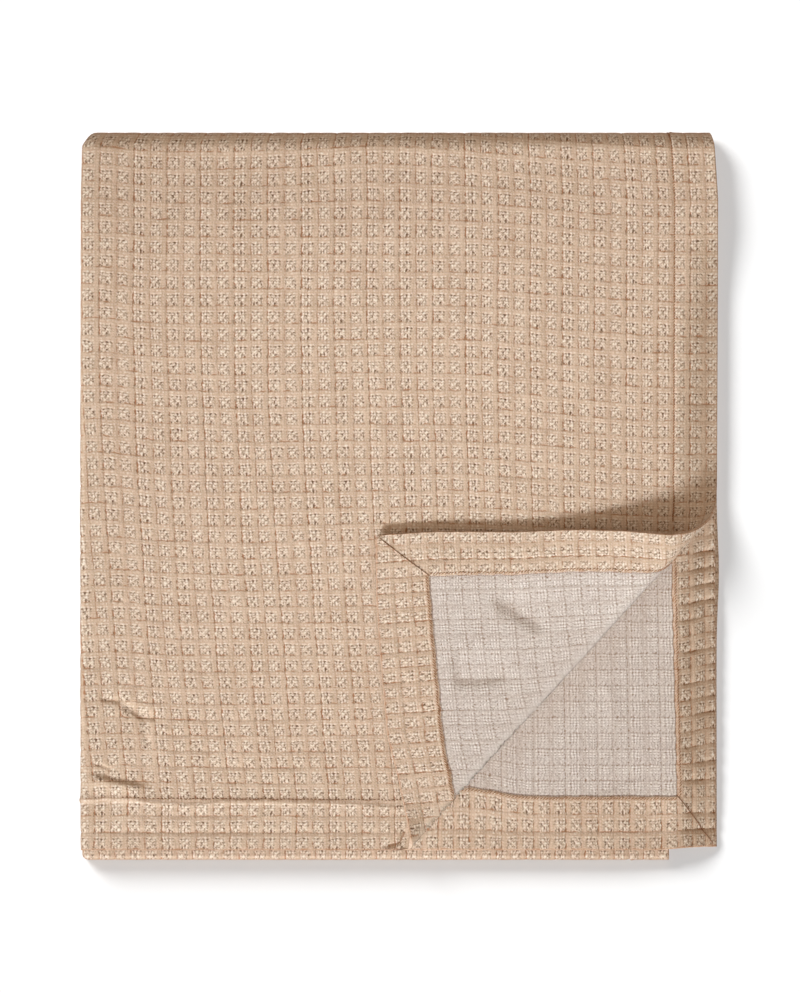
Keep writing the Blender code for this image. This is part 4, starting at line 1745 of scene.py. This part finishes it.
FACE_CHART = Chart(
    rows=(
        "......x........................x",
        ".oo....oo.............oo..o.....",
        "................................",
        ".OO.o..oOo.oo.....ooOo..ooo.....",
        "x.@x..@@..@x.....x@..@x.........",
        "xoo.oOx.Oo......oo.o..OOo......x",
        "x..xx@....xx.....x.x....@xx.....",
        "OOo..xoOOo......x.oOOO.x..o.....",
        "x.x.x..x..x.....x....x...@x.....",
        "xo.ooO@x.oo......ox..@oOo......x",
        "x@.x..@x.@x.....x.@xo...x.x....x",
    )
)
REVERSE_CHART = Chart(
    rows=(
        "x..x...x...xx..x.x..x..x..x..x..",
        "..Oo.Oo..Oo..O....O..Oo.Oo..Oo..",
        "..x...x..xx..x...x..x..x..xx....",
        "x.Oo.OO..Oo..O....O..Oo.OO..Oo..",
        "..x...x..x...x...x..x..x..x.....",
        "..oO.OO..Oo..o....O..Oo.Oo..Oo..",
        "x.x..xx..x...x......x..x..xx....",
        "..oo..o...o....o..o...o..o..o...",
        "..x....x.....x......x....x......",
        "x..oo....oo..o....oo...oo...oo..",
        "..x..x....xx.....x....x....x....",
    )
)


@dataclass(frozen=True)
class Tint:
    """A colour, as it looks on a screen, and how strongly it shows."""

    red: int
    green: int
    blue: int
    share: float = 1.0

    @property
    def colour(self) -> Colour:
        """The linear colour that a shader takes."""
        return tone(self.red, self.green, self.blue)


@dataclass(frozen=True)
class WovenFinish:
    """One side of the double cloth: charted figure, drawn lines, uneven yarn, painted sheen and shade.
    """

    name: str
    chart: Chart
    ground: Tint
    shade: Tint
    light: Tint
    dark: Tint
    # tone of the drawn-in lines, partly yarn colour and partly painted shade; also the rim's painted
    # shade
    groove: Tint
    pale: Tint
    blush: Tint
    # painted sheen over the fold; painted shade beside it, on the stack's sides and along the rim
    crest: Tint
    foot: Tint
    side_share: float
    rim_shade_share: float
    fleck_within: float
    fleck_outside: float
    line_width: float
    line_depth: float
    weak_share: float
    level_share: float
    beside_plain: float
    roughness: float = 0.92
    specular: float = 0.2
    bump: float = 0.6
    bump_depth: float = 0.0005
    figure_height: float = 0.5
    grain_height: float = 1.2

    def material(self, edge: ClothEdge) -> Material:
        """Builds the finish.

        Args:
            edge: the effect that marks the cloth's edges.

        Returns:
            The material.
        """
        made, inputs = matte(self.name, self.roughness, self.specular)
        graph = Graph(made.node_tree)
        blocks = graph.surface_map(WEAVE_MAP)
        place = UnsteadyPlace().put(graph, blocks=blocks)["place"]
        within = WithinFigure().put(graph, place=place)["within"]
        figure = self.figure(graph, place, within)
        tints = dict(ground=self.ground.colour, shade=self.shade.colour, blush=self.blush.colour)
        ground = MottledGround().put(graph, place=place, blush_share=self.blush.share, **tints)
        colour = self.yarns(graph, ground["colour"], within, figure)
        shares = dict(weak=self.weak_share, level=self.level_share, beside_plain=self.beside_plain)
        line = DrawnLines().put(graph, place=place, width=self.line_width, **shares)["line"]
        # painted shade along the cloth's rim, in the drawn lines' tone
        painted_rim_shade = edge.put(graph, blocks=blocks)["edge"]
        # drawn-in lines painted darker and browner: partly the yarn's own colour, partly painted shade
        # of the sunk lines
        for mark, share in ((line, self.groove.share), (painted_rim_shade, self.rim_shade_share)):
            colour = graph.mix(graph.times(mark, share), colour, self.groove.colour)
        graph.feed(inputs["Base Color"], colour)
        grain = graph.times(ground["grain"], self.grain_height)
        height = graph.maths("MULTIPLY_ADD", figure, self.figure_height, grain)
        height = graph.maths("MULTIPLY_ADD", line, -self.line_depth, height)
        bump = graph.node("ShaderNodeBump")
        graph.given(bump, Strength=self.bump, Distance=self.bump_depth, Height=height)
        graph.feed(inputs["Normal"], bump.outputs["Normal"])
        return made

    def figure(self, graph: Graph, place: Socket, within: Socket) -> Socket:
        """The charted figure with its uneven yarns.

        Args:
            graph: the finish's tree.
            place: the place on the cloth, counted in blocks.
            within: 1 within the figure, 0 in the plain cloth beside it.

        Returns:
            Below 0 for dark yarn, above 0 for light yarn.
        """
        flecks = dict(more=self.fleck_within - self.fleck_outside, outside=self.fleck_outside)
        yarn = UnevenYarn().put(graph, place=place, within=within, **flecks)
        charted = self.chart.shade(graph, place)
        return graph.maths("MULTIPLY_ADD", charted, yarn["strength"], yarn["fleck"])

    def yarns(self, graph: Graph, ground: Socket, within: Socket, figure: Socket) -> Socket:
        """The ground's colour with the yarns over it, then painted sheen and shade.

        Args:
            graph: the finish's tree.
            ground: the plain ground's colour.
            within: 1 within the figure, 0 in the plain cloth beside it.
            figure: below 0 for dark yarn, above 0 for light yarn.

        Returns:
            The cloth's colour.
        """
        light = graph.times(figure, self.light.share, clamp=True)
        dark = graph.times(figure, -self.dark.share, clamp=True)
        pale = graph.times(within, self.pale.share)
        colour = ground
        for share, tint in ((pale, self.pale), (light, self.light), (dark, self.dark)):
            colour = graph.mix(share, colour, tint.colour)
        tints = dict(crest=self.crest.colour, foot=self.foot.colour, colour=colour)
        shares = dict(crest_share=self.crest.share, foot_share=self.foot.share)
        tints["turn"], shares["side_share"] = graph.surface_map(FOLD_AND_SHADE_MAP), self.side_share
        return PaintedFoldSheenAndShade().put(graph, **tints, **shares)["colour"]


FACE_FINISH = WovenFinish(
    name="woven_face", chart=FACE_CHART, ground=Tint(224, 199, 174), shade=Tint(206, 179, 153),
    light=Tint(243, 233, 219, 1.05), dark=Tint(112, 82, 56, 0.85), groove=Tint(172, 116, 78, 0.90),
    pale=Tint(220, 205, 188, 0.25), blush=Tint(220, 188, 160, 0.35), crest=Tint(226, 208, 188, 0.45),
    foot=Tint(150, 108, 76, 0.0), side_share=0.70, rim_shade_share=0.30, fleck_within=0.60,
    fleck_outside=0.22, line_width=0.062, line_depth=0.55, weak_share=0.75, level_share=0.85,
    beside_plain=0.60,
)
REVERSE_FINISH = WovenFinish(
    name="woven_reverse", chart=REVERSE_CHART, ground=Tint(217, 206, 196), shade=Tint(205, 191, 180),
    light=Tint(243, 236, 229, 1.1), dark=Tint(140, 112, 88, 1.1), groove=Tint(150, 118, 92, 0.60),
    pale=Tint(219, 210, 202, 0.30), blush=Tint(208, 190, 176, 0.35), crest=Tint(214, 204, 195, 0.60),
    foot=Tint(176, 146, 118, 0.18), side_share=0.0, rim_shade_share=0.0, fleck_within=0.34,
    fleck_outside=0.26, line_width=0.040, line_depth=0.20, weak_share=0.60, level_share=0.80,
    beside_plain=0.85,
)


@dataclass(frozen=True)
class ThreadFinish:
    """Sewing thread, in the tint given, and how dark the painted shade in its hollows is."""

    name: str
    tint: Tint
    hollow: float = 0.72
    roughness: float = 0.85

    def material(self) -> Material:
        """Builds the finish."""
        made, inputs = matte(self.name, self.roughness)
        graph = Graph(made.node_tree)
        spot = graph.node("ShaderNodeTexCoord").outputs["Object"]
        colour = self.tint.colour
        hollow = (*(self.hollow * part for part in colour[:3]), 1.0)
        thread = TwistedThread().put(graph, spot=spot, colour=colour, hollow=hollow)
        graph.feed(inputs["Base Color"], thread["colour"])
        return made


class Thread(Enum):
    """Which thread a seam is sewn with, as its material index."""

    WARM = 0
    # dark thread for the mitres and the tacks, and the dark beads that paint the shadow at each hem's
    # step
    SHADOW = 1


@dataclass(frozen=True)
class Stitch:
    """One kind of stitch: how it is sewn, and with which thread."""

    side: Side
    thread: Thread
    spacing: float
    length: float
    width: float
    slant: float = 0.0
    rise: float = 0.0


@dataclass(frozen=True)
class Seam:
    """A straight line of stitches on the flat cloth."""

    stitch: Stitch
    start: Pair
    end: Pair


@dataclass
class Stitching:
    """All the stitches that show, each a small bead of thread, as one piece, with a line of dark beads
    along the base of each hem's step that paints its shadow.
    """

    sheet: Sheet
    name: str = "hem_stitches"
    inset: float = 0.0024
    # how far inside the hem's edge the painted shadow line lies
    foot: float = 0.0009
    shown_length: float = 0.330
    shown_widths: Pair = (0.300, 0.280)
    mitre_end: Pair = (0.0035, 0.0040)
    face_side: Pair = (0.345, 0.850)
    face_end: Pair = (0.350, 0.640)
    angle_spread: float = 0.10
    place_spread: float = 0.12
    length_range: Pair = (0.8, 1.15)
    end_share: float = 0.3
    seed: int = 5

    def seams(self) -> list[Seam]:
        """The lines of stitches that show."""
        cloth = self.sheet.cloth
        side, end, wide = cloth.side_hem, cloth.end_hem, cloth.width
        tick = Stitch(Side.REVERSE, Thread.WARM, 0.0031, 0.0036, 0.0010, 34.0, 0.0003)
        back = replace(tick, slant=-36.0)
        # painted shadow: dark beads along the base of each hem's step, where its shade falls
        foot = Stitch(Side.REVERSE, Thread.SHADOW, 0.0021, 0.0021, 0.0006)
        mitre = replace(foot, width=0.0011, rise=0.0002)
        whip = Stitch(Side.FACE, Thread.WARM, 0.0028, 0.0026, 0.0012, 28.0, 0.0004)
        tack = Stitch(Side.FACE, Thread.SHADOW, 0.0040, 0.0020, 0.0012, 8.0, 0.0004)
        near_width, far_width = self.shown_widths
        sewn: list[Seam] = []
        for shift, far_tick, sew in ((-self.inset, back, tick), (self.foot, foot, foot)):
            for kind, hem, way, reach in (
                (sew, side, 1.0, near_width), (far_tick, wide - side, -1.0, wide - far_width)
            ):
                across, along = hem + way * shift, end + shift
                sewn.append(Seam(kind, (across, end), (across, self.shown_length)))
                sewn.append(Seam(sew, (hem, along), (reach, along)))
        tip_u, tip_v = self.mitre_end
        sewn.append(Seam(mitre, (side, end), (tip_u, tip_v)))
        sewn.append(Seam(mitre, (wide - side, end), (wide - tip_u, tip_v)))
        sewn.append(Seam(whip, (side, self.face_side[0]), (side, self.face_side[1])))
        sewn.append(Seam(tack, (self.face_end[0], end), (self.face_end[1], end)))
        return sewn

    def surface(self, u: Array, v: Array, stitch: Stitch) -> Array:
        """Places on the folded cloth's surface, raised off it.

        Args:
            u, v: places on the cloth.
            stitch: the kind of stitch, which says on which side and how high.

        Returns:
            The places in the stack.
        """
        sheet, side = self.sheet, stitch.side
        half = 0.5 * sheet.cloth.thickness
        out = half + sheet.relief(u, v, np.full_like(u, side.value * half)) + stitch.rise
        if side is Side.REVERSE:
            out = out + sheet.hem_rise(u, v)
        places = sheet.stack.folded(u, v)
        places = places + sheet.stack.normals(u, v) * (side.value * out)[:, None]
        places[:, 2] += sheet.crease_height(u, v, places)
        return places

    @staticmethod
    def bead() -> tuple[Array, list[tuple[int, ...]]]:
        """One stitch of unit size: its points, and its facets as their numbers."""
        shape = bmesh.new()
        bmesh.ops.create_uvsphere(shape, u_segments=6, v_segments=4, radius=1.0)
        shape.verts.index_update()
        points = np.array([tuple(corner.co) for corner in shape.verts])
        facets = [tuple(corner.index for corner in facet.verts) for facet in shape.faces]
        shape.free()
        return points, facets

    def ends(self, seam: Seam, draws: np.random.Generator) -> Arrays:
        """Where each of a seam's stitches starts and ends.

        Args:
            seam: the line of stitches.
            draws: the source of their unevenness.

        Returns:
            The starts and the ends, in the stack.
        """
        start, end, stitch = np.array(seam.start), np.array(seam.end), seam.stitch
        run = float(np.linalg.norm(end - start))
        along = (end - start) / run
        count = max(2, int(run / stitch.spacing))
        uneven = draws.uniform(-self.place_spread, self.place_spread, count)
        shares = (np.arange(count) + 0.5 + uneven) / count
        spots = start + shares[:, None] * (end - start)
        angle = math.radians(stitch.slant) + draws.normal(0.0, self.angle_spread, count)
        cosine, sine = np.cos(angle), np.sin(angle)
        aim_u = along[0] * cosine - along[1] * sine
        aim_v = along[0] * sine + along[1] * cosine
        half = 0.5 * stitch.length * draws.uniform(*self.length_range, count)[:, None]
        aim = np.stack((aim_u, aim_v), axis=-1) * half
        return self.surface(*(spots - aim).T, stitch), self.surface(*(spots + aim).T, stitch)

    def build(self, materials: Sequence[Material]) -> Thing:
        """Makes the stitches.

        Args:
            materials: the warm thread's finish, then the dark thread's, which also paints the shadow
                line.

        Returns:
            The finished piece.
        """
        draws = np.random.default_rng(self.seed)
        points, facets = self.bead()
        beads: list[Array] = []
        joined: list[tuple[int, ...]] = []
        threads: list[int] = []
        for seam in self.seams():
            first, last = self.ends(seam, draws)
            middle, along = 0.5 * (first + last), last - first
            length = np.linalg.norm(along, axis=1, keepdims=True)
            aim = along / length
            aside = np.cross(aim, (0.0, 0.0, 1.0))
            aside /= np.linalg.norm(aside, axis=1, keepdims=True)
            half = 0.5 * seam.stitch.width
            reach = 0.5 * length + self.end_share * seam.stitch.width
            axes = (half * aside, half * np.cross(aim, aside), reach * aim)
            for number in range(len(middle)):
                shift = len(beads) * len(points)
                frame = np.stack([axis[number] for axis in axes])
                beads.append(middle[number] + points @ frame)
                joined += [tuple(corner + shift for corner in facet) for facet in facets]
                threads += [seam.stitch.thread.value] * len(facets)
        mesh = bpy.data.meshes.new(self.name)
        mesh.from_pydata(np.concatenate(beads).tolist(), [], joined)
        mesh.polygons.foreach_set("material_index", np.array(threads, np.int32))
        return finished(mesh, materials)


@dataclass(frozen=True)
class Lamp:
    """A light: its turn from the front towards the left, its rise and its spread, in degrees.

    Its strength is what it gives where it aims. One with a distance is a round lamp that far
    off, which a grid may narrow to a cone; one without is far away.
    """

    name: str
    turn: float
    rise: float
    spread: float
    strength: float
    colour: tuple[float, float, float] = (1.0, 1.0, 1.0)
    shadows: bool = True
    distance: float = 0.0
    aim: Pair = (0.0, 0.0)
    cone: float = 0.0

    def bulb(self) -> bpy.types.Light:
        """The light itself, of its own size and power."""
        if not self.distance:
            light = bpy.data.lights.new(self.name, "SUN")
            light.angle = math.radians(self.spread)
            light.energy = self.strength
            return light
        light = bpy.data.lights.new(self.name, "AREA")
        light.shape = "DISK"
        light.size = 2.0 * self.distance * math.tan(math.radians(0.5 * self.spread))
        light.energy = self.strength * math.pi * self.distance**2
        if self.cone:
            light.spread = math.radians(self.cone)
            half = 0.5 * light.spread
            light.energy *= 1.0 - half / math.tan(half)
        return light

    def build(self, things: Sequence[Thing]) -> None:
        """Makes the light, which falls on these things alone.

        Args:
            things: what it falls on.
        """
        light = self.bulb()
        light.color = self.colour
        light.use_shadow = self.shadows
        around, up = math.radians(self.turn), math.radians(self.rise)
        flat = math.cos(up)
        towards = Vector((-math.sin(around) * flat, -math.cos(around) * flat, math.sin(up)))
        made = placed(bpy.data.objects.new(self.name, light))
        made.location = towards * self.distance
        if self.distance:
            towards = made.location - Vector((*self.aim, 0.0))
        made.rotation_euler = towards.to_track_quat("Z", "Y").to_euler()
        receivers = bpy.data.collections.new(self.name + "_falls_on")
        for thing in things:
            receivers.objects.link(thing)
        made.light_linking.receiver_collection = receivers


@dataclass
class Studio:
    """The pale floor, the soft lights and the camera straight above."""

    floor_half: float = 4.0
    floor_drop: float = 0.0003
    floor_shade: float = 0.80
    camera_middle: Pair = (0.0006, 0.0002)
    camera_height: float = 2.5
    camera_reach: float = 50.0
    picture_span: float = 1.0143
    room_strength: float = 0.10
    cloth_lamps: tuple[Lamp, ...] = (
        Lamp("key", 30, 31, 16, 8.2, (0.91, 1.0, 1.08), distance=5.5, aim=(0.10, 0.25), cone=20.3),
        Lamp("sky", 0, 88, 150, 1.11, (1.0, 0.76, 0.56)),
    )
    floor_lamps: tuple[Lamp, ...] = (
        Lamp("floor_base", 0, 90, 1, 1.84, shadows=False), Lamp("floor_key", 135, 38.5, 24, 3.00)
    )

    def floor(self) -> Thing:
        """The floor, which isn't part of the object."""
        sheet = bmesh.new()
        bmesh.ops.create_grid(sheet, x_segments=1, y_segments=1, size=self.floor_half)
        bmesh.ops.translate(sheet, vec=(0.0, 0.0, -self.floor_drop), verts=sheet.verts)
        mesh = bpy.data.meshes.new("floor")
        sheet.to_mesh(mesh)
        sheet.free()
        made, inputs = matte("pale_floor", roughness=1.0, specular=0.0)
        inputs["Base Color"].default_value = (*(self.floor_shade,) * 3, 1.0)
        mesh.materials.append(made)
        return placed(bpy.data.objects.new("floor", mesh))

    def camera(self) -> None:
        """Sets up the camera, straight above and square to the stack."""
        data = bpy.data.cameras.new("camera")
        data.type = "ORTHO"
        data.ortho_scale = self.picture_span
        data.clip_end = self.camera_reach
        made = placed(bpy.data.objects.new("camera", data))
        made.location = (*self.camera_middle, self.camera_height)
        bpy.context.scene.camera = made

    def build(self, pieces: Sequence[Thing]) -> None:
        """Sets up the floor, the lights and the camera.

        Args:
            pieces: the object's own pieces.
        """
        scene = bpy.context.scene
        scene.view_settings.view_transform = "Standard"
        world = bpy.data.worlds.new("studio")
        world.use_nodes = True
        background = world.node_tree.nodes["Background"]
        background.inputs["Color"].default_value = (1.0, 1.0, 1.0, 1.0)
        background.inputs["Strength"].default_value = self.room_strength
        scene.world = world
        floor = self.floor()
        for lamps, things in ((self.cloth_lamps, pieces), (self.floor_lamps, (floor,))):
            for lamp in lamps:
                lamp.build(things)
        self.camera()


CREASES = (
    # three places that it bends through, its rise, its width to the right and to the left
    Crease((-0.3190, -0.2890), (-0.2900, -0.2950), (-0.2500, -0.3020), 0.0036, 0.0110, 0.0054),
    Crease((-0.3180, -0.2820), (-0.2900, -0.2890), (-0.2560, -0.2960), -0.0010, 0.0024, 0.0034),
    Crease((-0.3160, -0.2710), (-0.3040, -0.2760), (-0.2900, -0.2800), -0.0010, 0.0016, 0.0016),
    Crease((-0.2600, -0.2240), (-0.2590, -0.2420), (-0.2560, -0.2640), -0.0020, 0.0034, 0.0030),
    Crease((-0.0180, -0.3590), (0.0000, -0.3550), (0.0085, -0.3360), -0.0034, 0.0024, 0.0024),
    Crease((-0.3080, -0.2060), (-0.2950, -0.2085), (-0.2780, -0.2110), -0.0020, 0.0028, 0.0044),
    Crease((-0.2870, -0.2120), (-0.2650, -0.2240), (-0.2420, -0.2290), -0.0024, 0.0032, 0.0064),
    *(
        replace(crease, layer=Layer.TURNED)
        for crease in (
            Crease((0.0990, -0.1050), (0.1264, -0.1204), (0.1560, -0.1370), -0.0030, 0.0082, 0.022),
            Crease((0.0500, -0.1870), (0.0830, -0.1855), (0.1220, -0.1810), -0.0028, 0.0072, 0.022),
            Crease((0.1180, -0.0900), (0.1080, -0.1000), (0.0900, -0.1060), -0.0010, 0.0052, 0.010),
        )
    ),
    *(
        replace(crease, layer=Layer.SECOND)
        for crease in (
            Crease((0.2090, -0.1900), (0.2180, -0.2140), (0.2210, -0.2440), 0.0012, 0.0052, 0.010),
            Crease((0.2040, -0.3060), (0.2330, -0.2890), (0.2640, -0.2800), -0.0014, 0.0044, 0.010),
        )
    ),
)
THREAD_FINISHES = (
    ThreadFinish("warm_thread", Tint(180, 126, 82)), ThreadFinish("shadowed_thread", Tint(146, 102, 70))
)


def main() -> None:
    """Builds the bedspread and its studio, and reports each piece."""
    logging.basicConfig(level=logging.INFO, format="%(name)s: %(message)s")
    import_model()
    cloth = ClothSize()
    drift = Drift(cloth)
    stack = Stack(cloth, drift)
    sheet = Sheet(cloth, Weave(cloth), stack, drift, Shown(cloth, stack, drift), CREASES)
    edge = ClothEdge(sheet.weave)
    piece = sheet.build([finish.material(edge) for finish in (FACE_FINISH, REVERSE_FINISH)])
    stitches = Stitching(sheet).build([finish.material() for finish in THREAD_FINISHES])
    for made in (piece, stitches):
        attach(made, BODY)
        made.data.calc_loop_triangles()
        LOG.info("%s: %d triangles", made.name, len(made.data.loop_triangles))
    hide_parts(CAD_NODE)
    Studio().build((piece, stitches))


if __name__ == "__main__":
    main()
